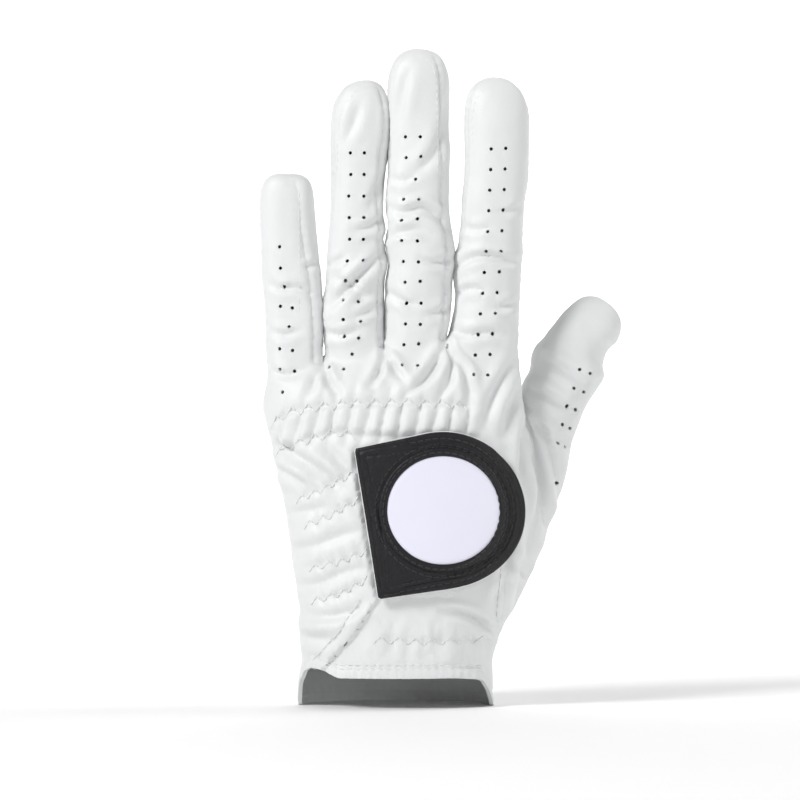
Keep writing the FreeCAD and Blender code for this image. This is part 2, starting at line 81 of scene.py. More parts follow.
# ---- The forms: cross-sections in millimetres ---------------------------------------------------
# Hand: height, left side, right side, back, palm.
HAND = [
    (-8, -30, 27.4, -20.5, 22), (0, -30, 27.8, -20.5, 22.5), (8, -30.6, 27.9, -20.2, 22),
    (14, -29.6, 27.5, -19.6, 21.4), (20, -30.2, 29.2, -19.2, 21), (24, -30.4, 31, -19, 21.2),
    (28, -30.2, 33.2, -19, 21.6), (36, -31.3, 35.5, -19, 22), (46, -32.6, 37.5, -18.4, 21.6),
    (58, -34.4, 39.8, -17.5, 20.5), (67, -36.1, 40.2, -16.9, 19), (76, -38, 39.4, -16.3, 17.4),
    (84, -40, 37.8, -15.3, 16), (89, -41.3, 36.8, -14.6, 15), (94, -40.8, 36.2, -13.2, 13.4),
    (99, -40.4, 35.5, -11.4, 11.6), (103, -39.9, 34.8, -9.4, 9.6), (105, -38.6, 33.4, -7.4, 7.6),
    (106.5, -35.5, 31, -4.4, 4.6),
]
# Fingers: the two outlines seen from the back, the middle plane and the depths, and the rounded end.
OUTLINES = {
    "little": {
        "left": [(86, -39.4), (104, -39.9), (115, -39.9), (120, -40.2), (128, -40.8), (135, -41.1),
                 (142, -41.4), (160, -41.4)],
        "right": [(86, -23.4), (104, -23.3), (112, -23.0), (120, -23.3), (128, -23.6), (135, -24.6),
                  (142, -25.2), (150, -25.8), (160, -26.2)],
        "front": 1.5, "depth": (15.6, 13.4), "start": 150, "top": 159.6, "power": 3.2, "apex": 0.0,
        "shape": 2.6},
    "ring": {
        "left": [(86, -21.8), (103, -21.8), (108, -22.4), (114, -23.0), (119, -23.1), (125, -22.1),
                 (130, -21.7), (138, -21.4), (144, -21), (150, -20.7), (190, -20.5)],
        "right": [(86, -5.0), (110, -4.9), (127, -4.9), (133, -3.6), (139.5, -5.3), (143, -4.0),
                  (148, -5.1), (155, -4.9), (165, -4.0), (172, -2.6), (190, -2.5)],
        "front": 0.8, "depth": (16.6, 14.6), "start": 174, "top": 187.6, "power": 2.3, "apex": 0.8,
        "shape": 2.3},
    "middle": {
        "left": [(86, -4.2), (127, -4.2), (133, -2.9), (139.5, -4.6), (143, -3.2), (148, -4.5),
                 (155, -3.9), (165, -3.2), (180, -3.3), (200, -3.8)],
        "right": [(86, 13.4), (110, 13.5), (115, 15.0), (122, 15.6), (127, 15.3), (134, 15.9),
                  (137, 16.2), (140, 15.7), (146, 15.0), (150, 14.7), (200, 14.6)],
        "front": -0.8, "depth": (17.0, 15.0), "start": 184, "top": 197.2, "power": 2.6, "apex": 0.4,
        "shape": 2.3},
    "index": {
        "left": [(86, 15.6), (105, 14.4), (110, 14.4), (115, 15.6), (120, 16.5), (124, 16.7), (128, 16.3),
                 (131, 16.4), (134.7, 16.8), (137, 17.6), (145, 18.3), (150, 18.6), (158, 19.4),
                 (170, 19.2), (190, 19.5)],
        "right": [(86, 35.4), (103, 35.0), (106, 34.8), (113, 35.1), (120, 35.7), (130, 35.9),
                  (137, 36.2), (144, 36.5), (150, 37.1), (158, 38.2), (165, 38.6), (190, 38.4)],
        "front": 0.0, "depth": (17.2, 14.8), "start": 172, "top": 188.6, "power": 2.4, "apex": -0.9,
        "shape": 2.3},
}
# Thumb: centre, half width, half depth, lean in degrees.
THUMB = [
    (21, 5, 24, 7, 7, 25), (24.5, 7, 33, 10.5, 10, 25), (28, 9, 42, 12, 11.5, 23.5),
    (31.5, 11, 52, 12.5, 11.8, 22), (38.5, 12.5, 68, 11.2, 11, 20),
    (42.4, 13.8, 82, 10.2, 10.2, 21), (47, 15, 94, 10.1, 9.5, 23), (52.6, 16, 106, 9.9, 9, 26),
    (57.8, 16.5, 113.6, 9.4, 8.4, 29), (59.5, 16.5, 116.6, 8.6, 7.6, 30), (60.9, 16.5, 119.1, 7, 6, 31),
    (61.8, 16.5, 120.7, 4.8, 4, 32), (62.1, 16.5, 121.4, 2.2, 2, 32),
]
# Lines that part touching fingers in the mesh: height and side.
PARTINGS = [
    [(95, -22.9), (104, -22.9), (122, -23.2), (135, -23.3), (200, -23.3)],
    [(95, -4.6), (127.5, -4.6), (133, -3.3), (139.5, -5.0), (143, -3.6), (148.5, -4.8), (154.5, -4.3),
     (162, -3.7), (176, -3.1), (180, -3.4), (184, -4.4), (186, -5.6), (190, -8), (200, -12)],
    [(95, 14.0), (110, 14.0), (115, 15.3), (122, 16.0), (128, 15.8), (134, 16.3), (139, 16.8), (200, 17)],
]
SEAM = [(16, 34), (21, 31.0), (25.5, 30.4), (42, 32), (61, 34.5), (78, 36.5), (84, 37.5), (88, 37.0),
        (93.5, 36.3), (100, 37.5), (110, 40.5), (125, 47)]
SLIT = [(0, -26.5), (9, -24.6), (14, -20.6), (22, -13.4), (32.4, -6.6), (77, -13.7)]
LABEL = (12.3, 58.7)
TAB_R = 23.3
SPLIT = 116.0          # height at which each finger's leather is made in two lengths
SPREAD = 3.2           # how far touching fingers are held apart while the form is joined
SPREAD_RISE = (97, 109)   # heights between which that distance grows
PARTING = 0.5          # width of the strip that is stretched to part two fingers
FINGER_EASE = 0.22     # each side of a finger's form stands this far outside its outline
MIDDLE_Y = 1.0         # plane between the hand's back and its palm
HAND_SHAPE = 2.3       # power of the hand's oval section
THUMB_LEAN = math.radians(23)
THUMB_JOINT = (47.2, 94)  # place of the thumb's joint, seen from the back
HEM = 3.0              # height of the cuff's hem
SLIT_TOP = 77
SLIT_GAP = 0.06        # half the width of the slit's cut
HOLE_RADIUS = 0.52
HOLE_SPOKES = 8        # lines cut through each vent hole before its round edge
RIM_TURN = 0.14        # how far a cut edge is turned in
SKIN_PASSES = 9        # smoothing of the remeshed form
LABEL_R = 15.95


def curve(points, at):
    """A smooth value along a table of (position, value)."""
    margin, step, window = 12, 0.5, 5
    table = np.array(points, float)
    dense = np.arange(table[0, 0] - margin, table[-1, 0] + margin, step)
    line = np.interp(dense, table[:, 0], table[:, 1])
    for _ in range(2):
        line = np.convolve(np.pad(line, window // 2, mode="edge"), np.ones(window) / window,
                           mode="valid")
    return np.interp(at, dense, line)


def value_on(line, at):
    """The value of a polyline of (position, value) at a position."""
    return np.interp(at, *zip(*line))


def ramp(low, high, at):
    """0 below low, 1 above high and smooth between."""
    t = np.clip((np.asarray(at, float) - low) / (high - low), 0, 1)
    return t * t * (3 - 2 * t)


def bell(x, width):
    """1 at 0, falling off smoothly over a width."""
    return np.exp(-(x / width) ** 2)


# ---- Mesh tools -----------------------------------------------------------------------------------

def deselect():
    """Leaves edit mode and selects nothing."""
    if bpy.context.object and bpy.context.object.mode != "OBJECT":
        bpy.ops.object.mode_set(mode="OBJECT")
    bpy.ops.object.select_all(action="DESELECT")


def mesh_object(name, points, faces, normals=None):
    """A mesh object from points in millimetres. Faces are arrays of 3 or 4 corners."""
    mesh = bpy.data.meshes.new(name)
    counts = np.concatenate([np.full(len(f), f.shape[1]) for f in faces if len(f)])
    corners = np.concatenate([f.ravel() for f in faces if len(f)]).astype(np.int32)
    mesh.vertices.add(len(points))
    mesh.vertices.foreach_set("co", (points * MM).astype(np.float32).ravel())
    mesh.loops.add(len(corners))
    mesh.loops.foreach_set("vertex_index", corners)
    mesh.polygons.add(len(counts))
    starts = np.concatenate([[0], np.cumsum(counts)[:-1]]).astype(np.int32)
    mesh.polygons.foreach_set("loop_start", starts)
    mesh.polygons.foreach_set("use_smooth", np.ones(len(counts), bool))
    mesh.update(calc_edges=True)
    if normals is not None:
        mesh.normals_split_custom_set(normals.tolist())
    made = bpy.data.objects.new(name, mesh)
    bpy.context.scene.collection.objects.link(made)
    return made


def tube(name, rings, count=56, shape=2.3):
    """A closed tube through rings of (centre, half width, back depth, palm depth, lean)."""
    angles = np.linspace(0, 2 * math.pi, count, endpoint=False)
    c, s = np.cos(angles), np.sin(angles)
    u = np.sign(c) * np.abs(c) ** (2 / shape)
    v = np.sign(s) * np.abs(s) ** (2 / shape)
    points = []
    for centre, wide, back, palm, lean in rings:
        t = math.radians(lean)
        x = u * wide
        y = np.where(v < 0, v * back, v * palm)
        points.append(np.stack([centre[0] + x * math.cos(t), centre[1] + y,
                                centre[2] - x * math.sin(t)], 1))
    quads = []
    for k in range(len(rings) - 1):
        i = np.arange(count)
        j = (i + 1) % count
        quads.append(np.stack([k * count + i, k * count + j, (k + 1) * count + j,
                               (k + 1) * count + i], 1))
    points.append(np.array([rings[0][0], rings[-1][0]], float))
    low, high = len(rings) * count, len(rings) * count + 1
    i = np.arange(count)
    j = (i + 1) % count
    top = (len(rings) - 1) * count
    fans = np.concatenate([np.stack([j, i, np.full(count, low)], 1),
                           np.stack([top + i, top + j, np.full(count, high)], 1)])
    return mesh_object(name, np.concatenate(points), [np.concatenate(quads), fans])


def hand_section(z):
    """Left side, right side, back and palm of the hand at a height."""
    table = np.array(HAND, float)
    return [np.interp(z, table[:, 0], table[:, k]) for k in range(1, 5)]


def hand_rings():
    """The rings of the hand's tube, closer together at its end."""
    rings = []
    for z in list(np.arange(-8, 103, 2.0)) + [103, 104.2, 105.2, 106, 106.5]:
        left, right, back, palm = hand_section(z)
        rings.append((((left + right) / 2, MIDDLE_Y, z), (right - left) / 2, MIDDLE_Y - back,
                      palm - MIDDLE_Y, 0.0))
    return rings


def cap_scale(f, z):
    """How much a finger has narrowed towards its end at a height."""
    t = np.clip((z - f["start"]) / (f["top"] - f["start"]), 0, 0.999)
    return (1 - t ** f["power"]) ** (1 / f["power"])


def finger_rings(name):
    """The rings of a finger's tube, from inside the hand to the fingertip."""
    f = OUTLINES[name]
    low, web = 86, 97
    heights = list(np.arange(low, f["start"], 2.0))
    cap = f["top"] - f["start"]
    shares = [0, 0.15, 0.3, 0.45, 0.6, 0.72, 0.82, 0.9, 0.95, 0.985, 0.998]
    rings = []
    for z in heights + [f["start"] + cap * t for t in shares]:
        t = max(0.0, (z - f["start"]) / cap)
        scale = float(cap_scale(f, z))
        left, right = float(curve(f["left"], z)), float(curve(f["right"], z))
        deep = np.interp(z, (web, f["start"]), f["depth"]) / 2
        deep *= 0.6 + 0.4 * float(ramp(low, web, z))
        half = (right - left) / 2 + FINGER_EASE
        rings.append((((left + right) / 2 + f["apex"] * t * t, f["front"], z), half * scale,
                      deep * scale, deep * scale, 0.0))
    return rings


def spread(points, inverse=False):
    """Moves touching fingers apart above the webs, or back again."""
    x, z = points[:, 0].copy(), points[:, 2]
    gap = SPREAD * ramp(*SPREAD_RISE, z)
    out = x.copy()
    for line in PARTINGS:
        centre = curve(line, z)
        if not inverse:
            t = np.clip((x - centre) / PARTING + 0.5, 0, 1)
            out = out + gap * t
        else:
            low = centre - PARTING / 2
            t = np.clip((out - low) / (PARTING + gap), 0, 1)
            out = np.where(out > low + PARTING + gap, out - gap,
                           np.where(out > low, low + t * PARTING, out))
    points = points.copy()
    points[:, 0] = out
    return points


def vertex_array(thing):
    """The corners of a mesh, in millimetres."""
    co = np.zeros(len(thing.data.vertices) * 3)
    thing.data.vertices.foreach_get("co", co)
    return co.reshape(-1, 3) / MM


def triangle_array(thing):
    """The triangles of a mesh, as rows of three corner numbers."""
    thing.data.calc_loop_triangles()
    tri = np.zeros(len(thing.data.loop_triangles) * 3, np.int32)
    thing.data.loop_triangles.foreach_get("vertices", tri)
    return tri.reshape(-1, 3).astype(np.int64)


def vertex_normals(points, tris):
    """The direction out of the skin at every corner."""
    a, b, c = (points[tris[:, k]] for k in range(3))
    face = np.cross(b - a, c - a)
    total = np.zeros_like(points)
    for k in range(3):
        for axis in range(3):
            total[:, axis] += np.bincount(tris[:, k], face[:, axis], len(points))
    return total / np.maximum(np.linalg.norm(total, axis=1, keepdims=True), 1e-12)


def cut_along(data, tris, column):
    """Splits the triangles along the zero line of one field. Returns the new data and triangles."""
    least = 0.02           # a corner this close to the line counts as above it
    data[np.abs(data[:, column]) < least, column] = least
    values = data[:, column]
    above = values[tris] > 0
    mixed = above.any(1) & ~above.all(1)
    whole, work, sign = tris[~mixed], tris[mixed], above[mixed]
    lone_high = sign.sum(1) == 1
    lone = np.where(lone_high, sign.argmax(1), (~sign).argmax(1))
    rows = np.arange(len(work))
    a, b, c = (work[rows, (lone + k) % 3] for k in range(3))
    edges = np.concatenate([np.stack([a, b], 1), np.stack([a, c], 1)])
    edges.sort(axis=1)
    keys, where = np.unique(edges[:, 0] * len(data) + edges[:, 1], return_inverse=True)
    first, second = keys // len(data), keys % len(data)
    v0, v1 = values[first], values[second]
    t = (v0 / (v0 - v1))[:, None]
    fresh = data[first] * (1 - t) + data[second] * t
    fresh[:, column] = 0.0
    ab, ac = len(data) + where[:len(work)], len(data) + where[len(work):]
    made = [np.stack(corners, 1) for corners in ([a, ab, ac], [ab, b, c], [ab, c, ac])]
    return np.concatenate([data, fresh]), np.concatenate([whole, *made])


# ---- Fields over the base form --------------------------------------------------------------------

def cuff_level(p):
    """Height of the glove's lower edge: the back ends higher than the sides and the palm."""
    x, y = p[:, 0], p[:, 1]
    back = 9.1 + 2.7 * ramp(-17.5, -25, x) - 0.7 * ramp(14, 27, x)
    return back * ramp(-1.0, -12.5, y + 0.35 * np.minimum(0, x + 22))


def finger_of(x, z):
    """Number of the finger at a place, from the little finger at 0 to the index at 3."""
    return sum((x > curve(line, z)).astype(int) for line in PARTINGS)


def finger_centre(f, z):
    """The middle between a finger's two sides at a height."""
    return (curve(f["left"], z) + curve(f["right"], z)) / 2


PARTS = {}             # field name: its column in the data array
# Fingers and sides (0 left, 1 right) that have a side wall: how far round to the back it reaches.
WALLS = {("little", 1): -4.9, ("ring", 0): -2.6, ("ring", 1): -4.6, ("middle", 0): -3.2,
         ("middle", 1): -6.6, ("index", 0): -3.6}
WALL_PALM = 5.4        # where a side wall meets the palm leather
PLAIN_SEAM = 2.0       # where back and palm meet when there is no side wall


def wall_lines(p):
    """Where the back leather ends and the palm leather starts, as y, at every point."""
    x, _, z = p.T
    which = finger_of(x, z)
    back, palm = np.full(len(x), PLAIN_SEAM), np.full(len(x), PLAIN_SEAM)
    for number, name in enumerate(FINGERS):
        f = OUTLINES[name]
        centre = finger_centre(f, z)
        depth = cap_scale(f, z)
        for side in (0, 1):
            here = (which == number) & ((x > centre) == bool(side)) & (z > 96)
            edge = WALLS.get((name, side))
            if edge is None:
                back[here] = palm[here] = f["front"] + (PLAIN_SEAM * depth)[here]
            else:
                back[here] = f["front"] + ((edge - f["front"]) * depth)[here]
                palm[here] = f["front"] + ((WALL_PALM - f["front"]) * depth)[here]
    return back, palm


def thumb_along(p):
    """Distance along the thumb from its joint."""
    x, z = THUMB_JOINT
    return (p[:, 0] - x) * math.sin(THUMB_LEAN) + (p[:, 2] - z) * math.cos(THUMB_LEAN)


# ---- Relief: folds, gathers, seams -----------------------------------------------------------------
# Folds on the back: points (x, z), width, depth, and how far the leather swells beside them.
FOLDS = [
    # ring finger
    ([(-12, 180.5), (-13.5, 175), (-16.5, 168.5)], 1.7, 0.4, 0.25),
    ([(-19.5, 128), (-15, 126), (-10.5, 121.5)], 1.5, 0.6, 0.4),
    ([(-5.5, 135.5), (-10, 130.5), (-16.5, 124), (-20.5, 119.5)], 1.5, 0.95, 0.55),
    ([(-22.5, 112), (-17.5, 110.5), (-12, 112.5)], 1.3, 0.45, 0.35),
    ([(-6, 121), (-10, 117.5), (-14, 116)], 1.2, 0.4, 0.3),
    ([(-5, 146), (-9, 143), (-14, 142)], 1.3, 0.5, 0.35),
    ([(-20.8, 131.5), (-16.5, 134.5)], 1.2, 0.45, 0.3),
    ([(-4, 160), (-7, 154), (-8.5, 149)], 1.5, 0.35, 0.25),
    # middle finger
    ([(2.5, 189.5), (0.5, 182.5), (-0.8, 174.5)], 1.8, 0.45, 0.25),
    ([(13.5, 176), (12, 168), (8, 161.5), (2.5, 158.5)], 1.8, 0.45, 0.35),
    ([(-3.5, 149), (1, 147), (6, 149.5), (11, 147), (14.5, 142.5)], 1.4, 0.8, 0.5),
    ([(-4, 140), (0, 141.5), (5, 142.5), (9, 140)], 1.2, 0.45, 0.35),
    ([(15.5, 134), (11, 132), (6, 133.5)], 1.2, 0.55, 0.4),
    ([(-3.8, 124), (0.5, 121), (5.5, 119.5)], 1.3, 0.45, 0.35),
    ([(15, 119.5), (11, 117), (7.5, 117.5)], 1.3, 0.5, 0.35),
    ([(-3, 158), (1, 156.5), (4, 158)], 1.2, 0.3, 0.25),
    # index finger
    ([(16.6, 131), (21, 134), (27, 134.8), (33, 132.5), (36, 133)], 1.3, 0.7, 0.5),
    ([(15.5, 112.5), (20, 110.5), (26, 112), (31, 110.8)], 1.4, 0.55, 0.4),
    ([(17, 123), (20.5, 125), (25, 124.3)], 1.2, 0.45, 0.3),
    ([(35.5, 121), (31, 119), (27.5, 120)], 1.3, 0.5, 0.35),
    ([(18.5, 144), (22, 142), (27, 143)], 1.2, 0.35, 0.25),
    ([(37, 150), (33, 147.5), (29, 148)], 1.2, 0.3, 0.2),
    # little finger
    ([(-40, 127), (-36, 124.5), (-31, 125.5), (-25, 122.5)], 1.3, 0.5, 0.35),
    ([(-40, 112.5), (-35, 110.5), (-30, 112)], 1.3, 0.45, 0.3),
    ([(-24.5, 133), (-28, 131)], 1.1, 0.4, 0.3),
    ([(-39.8, 101), (-35, 98.5), (-30.5, 99.5)], 1.4, 0.4, 0.3),
    # webs and knuckles: folds that run down from the webs
    ([(-22.8, 102), (-21.5, 97), (-18.5, 93)], 1.3, 0.9, 0.5),
    ([(-22.8, 102), (-25.5, 97.5), (-27, 92.5)], 1.3, 0.55, 0.35),
    ([(-4.6, 107), (-5.5, 101), (-9, 95.5)], 1.2, 0.8, 0.45),
    ([(-4.6, 106), (-1.5, 100.5), (1.5, 96.5)], 1.3, 0.6, 0.4),
    ([(13.8, 110.5), (12, 104), (7.5, 97.5), (2, 93)], 1.5, 0.95, 0.55),
    ([(13.8, 110), (15.5, 103.5), (14.8, 96.5), (11.5, 92)], 1.4, 0.75, 0.45),
    ([(15, 106.5), (19.5, 99.5), (20.5, 93), (18.5, 88)], 1.5, 0.65, 0.45),
    ([(34.5, 104), (30, 97), (26.5, 90), (25.5, 84)], 1.7, 0.75, 0.5),
    ([(36.3, 96), (32.5, 89), (30.8, 81)], 1.6, 0.6, 0.45),
    # little finger's side of the hand
    ([(-39.5, 79.5), (-31, 75), (-24, 70.5), (-17.5, 65.5)], 2.0, 0.95, 0.7),
    ([(-38, 72), (-31, 69), (-26, 65.5)], 1.8, 0.6, 0.45),
    ([(-22, 78), (-17.5, 73.5), (-14.5, 69.5)], 1.7, 0.6, 0.45),
    ([(-33.5, 57.5), (-27, 58.5), (-20, 60)], 1.8, 0.4, 0.35),
    ([(-33, 47), (-26.5, 47.5), (-17, 51.5), (-11, 53)], 2.0, 0.55, 0.45),
    ([(-31.5, 37), (-25, 36), (-17, 40.5), (-9.5, 42)], 1.8, 0.5, 0.4),
    ([(-30.5, 29), (-25, 27), (-17, 27.5), (-9, 31.5)], 1.8, 0.55, 0.45),
    ([(-30, 21), (-25.5, 20.5), (-19, 20.5)], 1.8, 0.45, 0.35),
    # right of the tab, and the wrist
    ([(12, 29.2), (18, 28.4), (24, 26), (29.5, 21.5)], 1.3, 0.95, 0.5),
    ([(37, 84), (35.3, 74), (36.5, 64)], 1.4, 0.7, 0.5),
    ([(31, 38), (28.5, 33), (28.5, 27)], 1.6, 0.5, 0.4),
    ([(33.4, 50), (31.5, 43.5), (29, 38.5)], 1.6, 0.5, 0.4),
    # thumb
    ([(37.8, 83), (39.5, 74), (42, 63), (45, 50)], 1.7, 1.0, 0.7),
    ([(37.6, 80), (37.3, 70), (38, 59), (38, 48)], 1.6, 0.7, 0.5),
    ([(38.5, 88), (43, 82), (46.5, 72), (47.5, 62)], 1.6, 0.7, 0.5),
    ([(38.5, 95), (43.5, 93.5), (49, 89.5), (54.5, 88.5)], 1.6, 0.6, 0.45),
    ([(43.5, 103.5), (48.5, 101.5), (54, 97.5), (59, 96.5)], 1.6, 0.5, 0.4),
    ([(34, 44), (37.5, 39.5), (39.5, 36)], 1.6, 0.5, 0.4),
    ([(50, 79), (45.5, 80), (41.5, 84)], 1.5, 0.45, 0.35),
]
# Folds on the palm's side, in the same form.
PALM_FOLDS = [
    ([(-38, 84), (-20, 80), (0, 79), (18, 84), (34, 90)], 2.4, 1.0, 0.7),
    ([(-30, 70), (-10, 66), (8, 68), (22, 76), (34, 80)], 2.4, 0.9, 0.6),
    ([(-8, 22), (0, 40), (12, 58), (28, 70)], 2.6, 0.9, 0.6),
    ([(-40, 126), (-32, 125), (-24, 126)], 1.8, 0.8, 0.6),
    ([(-40, 106), (-31, 104), (-23, 106)], 1.8, 0.7, 0.5),
    ([(-21, 139), (-13, 138), (-5, 139)], 1.8, 0.8, 0.6),
    ([(-22, 112), (-13, 110), (-5, 112)], 1.8, 0.7, 0.5),
    ([(-4, 146), (5, 145), (14, 146)], 1.8, 0.8, 0.6),
    ([(-4, 116), (5, 114), (14, 116)], 1.8, 0.7, 0.5),
    ([(17, 139), (27, 138), (36, 139)], 1.8, 0.8, 0.6),
    ([(16, 113), (26, 111), (35, 113)], 1.8, 0.7, 0.5),
    ([(-29, 26), (-12, 23), (8, 25), (28, 27)], 2.2, 0.7, 0.5),
    ([(-28, 14), (0, 12), (26, 14)], 2.2, 0.4, 0.3),
]
FOLD_STRENGTH = 1.7    # turns the tables' depths and swells into millimetres
BULGES = [             # broad swellings of the worn leather: centre, half widths, height
    (-30, 70, 7, 5, 0.9), (-22, 60, 7, 5, 0.5), (-25, 50, 8, 5, 0.7), (-22, 25, 8, 6, 0.9),
    (20, 98, 5, 6, 0.6), (30, 90, 5, 9, 0.5), (26, 70, 6, 20, 0.3), (16, 23, 8, 4, 0.6),
    (-31, 94, 6, 5, 0.5), (-14, 96, 5, 4, 0.4), (4, 97, 5, 4, 0.4), (44, 70, 4, 12, 0.5),
    (-18, 117, 5, 4, 0.5), (-13, 131, 6, 4, 0.4), (5, 137, 6, 4, 0.4), (27, 128, 7, 5, 0.4),
    (27, 117, 7, 4, 0.4), (5, 127, 6, 4, 0.3),
]
GRAIN = ((11.0, 0.55), (4.5, 0.18), (2.1, 0.05))   # unevenness: size and height of each layer
# Rows of zigzag stitches over the elastic, as points (x, z).
KNUCKLE_HIGH = [(-38.6, 84), (-33, 88), (-24, 89.6), (-15, 90.6), (0, 90.8), (14, 90.4), (22, 89.4)]
KNUCKLE_LOW = [(-37.2, 76), (-27, 80), (-18, 82), (-13, 81), (0, 80.5), (14, 80.5), (22, 80)]
SIDE_ROWS = [[(-31, 61.5), (-22, 65.5), (-12, 71)], [(-28.5, 54), (-20, 57.5), (-12, 62.4)],
             [(-27, 41.4), (-18, 43.5), (-9.5, 47)], [(-26.4, 31.5), (-17, 34.5), (-9, 39)]]
WRIST_ROW = [(-8, 20.6), (6, 20), (27, 20.4)]
# Stitched seams that show near the fingertips.
FINGER_SEAMS = {
    "little": [[(-30.2, 118), (-30.0, 128), (-30.1, 140), (-30.2, 154)]],
    "ring": [[(-18.9, 160), (-18.6, 172), (-17, 179), (-13.5, 183.5), (-9, 185)],
             [(-6.6, 120), (-6.2, 128)]],
    "middle": [[(-1.5, 190), (1.5, 193.4), (6, 194.6), (9.5, 192), (11, 187), (11.2, 170),
                (11.3, 158)]],
    "index": [[(21.5, 168), (21.4, 176), (22.8, 181.5), (26, 185)]],
}


def from_line(x, z, line):
    """Distance from a polyline, and how far along it the nearest point is."""
    best, along, run = np.full(len(x), 1e9), np.zeros(len(x)), 0.0
    for (ax, az), (bx, bz) in zip(line[:-1], line[1:]):
        length = math.hypot(bx - ax, bz - az)
        t = np.clip(((x - ax) * (bx - ax) + (z - az) * (bz - az)) / length ** 2, 0, 1)
        far = np.hypot(x - ax - t * (bx - ax), z - az - t * (bz - az))
        nearer = far < best
        best = np.where(nearer, far, best)
        along = np.where(nearer, run + t * length, along)
        run += length
    return best, along, run


def rounded(line):
    """The same polyline with its corners cut twice, so that a fold runs in a curve."""
    points = [tuple(p) for p in line]
    for _ in range(2):
        cut = [points[0]]
        for (ax, az), (bx, bz) in zip(points[:-1], points[1:]):
            cut += [(0.75 * ax + 0.25 * bx, 0.75 * az + 0.25 * bz),
                    (0.25 * ax + 0.75 * bx, 0.25 * az + 0.75 * bz)]
        points = cut + [points[-1]]
    return points


def fold_relief(x, z, folds):
    """Folds: a groove with a swelling beside it, fading at both ends."""
    total = np.zeros(len(x))
    for line, width, depth, swell in folds:
        far, along, run = from_line(x, z, rounded(line))
        near = far < width * 4
        ends = np.sin(np.clip(along[near] / run, 0.04, 0.96) * math.pi) ** 0.6
        d = far[near]
        total[near] += FOLD_STRENGTH * ends * (swell * bell(d - width * 1.8, width)
                                               - depth * bell(d, width * 0.7))
    return total


def gather_relief(x, z):
    """The leather gathered by the elastic bands."""
    total = np.zeros(len(x))
    high = value_on(KNUCKLE_HIGH, x)
    low = value_on(KNUCKLE_LOW, x)
    across = ramp(-39, -34, x) * ramp(26, 19, x)
    phase = (x - 0.22 * (z - 85)) / 5.0 + 0.06 * np.sin(x * 0.9) + 0.05 * np.sin(x * 0.37 + 1)
    puff = np.abs(np.sin(math.pi * phase)) ** 0.8 - 0.55
    between = ramp(low - 0.5, low + 1.8, z) * ramp(high + 0.5, high - 1.8, z)
    total += across * between * (1.6 * puff + 0.5)
    above = ramp(high - 0.8, high + 1.2, z) * np.exp(-np.maximum(0, z - high) / 4.2)
    total += across * above * 1.0 * puff
    below = ramp(low + 0.8, low - 1.2, z) * np.exp(-np.maximum(0, low - z) / 3.0)
    total += across * below * 1.1 * puff
    for row in (high, low):
        total -= across * 0.8 * bell(z - row, 1.4)
    reach = 3.0
    for row, pitch, depth in [(r, 4.0, 1.0) for r in SIDE_ROWS] + [(WRIST_ROW, 5.0, 0.6)]:
        far, along, run = from_line(x, z, row)
        ends = ramp(0, reach, along) * ramp(run, run - reach, along)
        wave = np.abs(np.sin(math.pi * along / pitch)) - 0.5
        total += ends * (depth * wave * np.exp(-far / reach) - 0.45 * bell(far, 1.3))
    return total


def side_bulge(x, z, back):
    """Broad swellings and hollows of the worn leather."""
    total = np.zeros(len(x))
    for cx, cz, wx, wz, high in BULGES:
        total += high * np.exp(-((x - cx) / wx) ** 2 - ((z - cz) / wz) ** 2)
    return total * back * FOLD_STRENGTH


def noise_relief(points):
    """Soft uneven leather: a few sizes of noise."""
    total = np.zeros(len(points))
    for size, high in GRAIN:
        scaled = (points * (1 / size)).tolist()
        total += high * np.array([noise.noise(Vector((x + 3.1, y * 0.8, z * 0.7)))
                                  for x, y, z in scaled])
    return total


def build_form():
    """Joins the tubes to one skin, then works out its relief, its fields and its cut lines."""
    deselect()
    tubes = [tube("form_hand", hand_rings())]
    for name in FINGERS:
        tubes.append(tube(f"form_{name}", finger_rings(name), 48, OUTLINES[name]["shape"]))
    thumb = [((x, y, z), wide, deep, deep, lean) for x, y, z, wide, deep, lean in THUMB]
    tubes.append(tube("form_thumb", thumb, 48, 2.15))
    for number, thing in enumerate(tubes, -1):
        points = vertex_array(thing)
        if 0 <= number < len(FINGERS):     # a finger moves as a whole, so that its sides stay closed
            points[:, 0] += number * SPREAD * ramp(*SPREAD_RISE, points[:, 2])
        else:
            points = spread(points)
        if thing.name == "form_hand":      # the webs lie higher toward the index finger
            web = ramp(88, 104, points[:, 2]) * 0.2 * np.clip(points[:, 0] + 4, -22, 22)
            points[:, 2] += web
        thing.data.vertices.foreach_set("co", (points * MM).ravel())
        thing.data.update()
        thing.select_set(True)
    bpy.context.view_layer.objects.active = tubes[0]
    bpy.ops.object.join()
    skin = tubes[0]
    remesh = skin.modifiers.new("remesh", "REMESH")
    remesh.mode = "VOXEL"
    remesh.voxel_size = glove["voxel"] * MM
    bpy.ops.object.modifier_apply(modifier=remesh.name)
    smooth = skin.modifiers.new("smooth", "SMOOTH")
    smooth.factor = 0.5
    smooth.iterations = SKIN_PASSES
    bpy.ops.object.modifier_apply(modifier=smooth.name)
    p = spread(vertex_array(skin), inverse=True)
    tris = triangle_array(skin)
    bpy.data.objects.remove(skin)
    data, tris = cut_pieces(p, tris)
    tris = tris[data[tris][:, :, PARTS["gap"]].mean(1) > 0]
    base = data[:, 3:6] / np.linalg.norm(data[:, 3:6], axis=1, keepdims=True)
    data[:, 3:6] = data[:, :3] + base * relief(data, base)[:, None]
    data[:, 6:9] = vertex_normals(data[:, 3:6], tris)
    glove.update(data=data, tris=tris, mean=data[tris].mean(1), surface=BVHTree.FromPolygons(
        data[:, 3:6].tolist(), tris.tolist()))


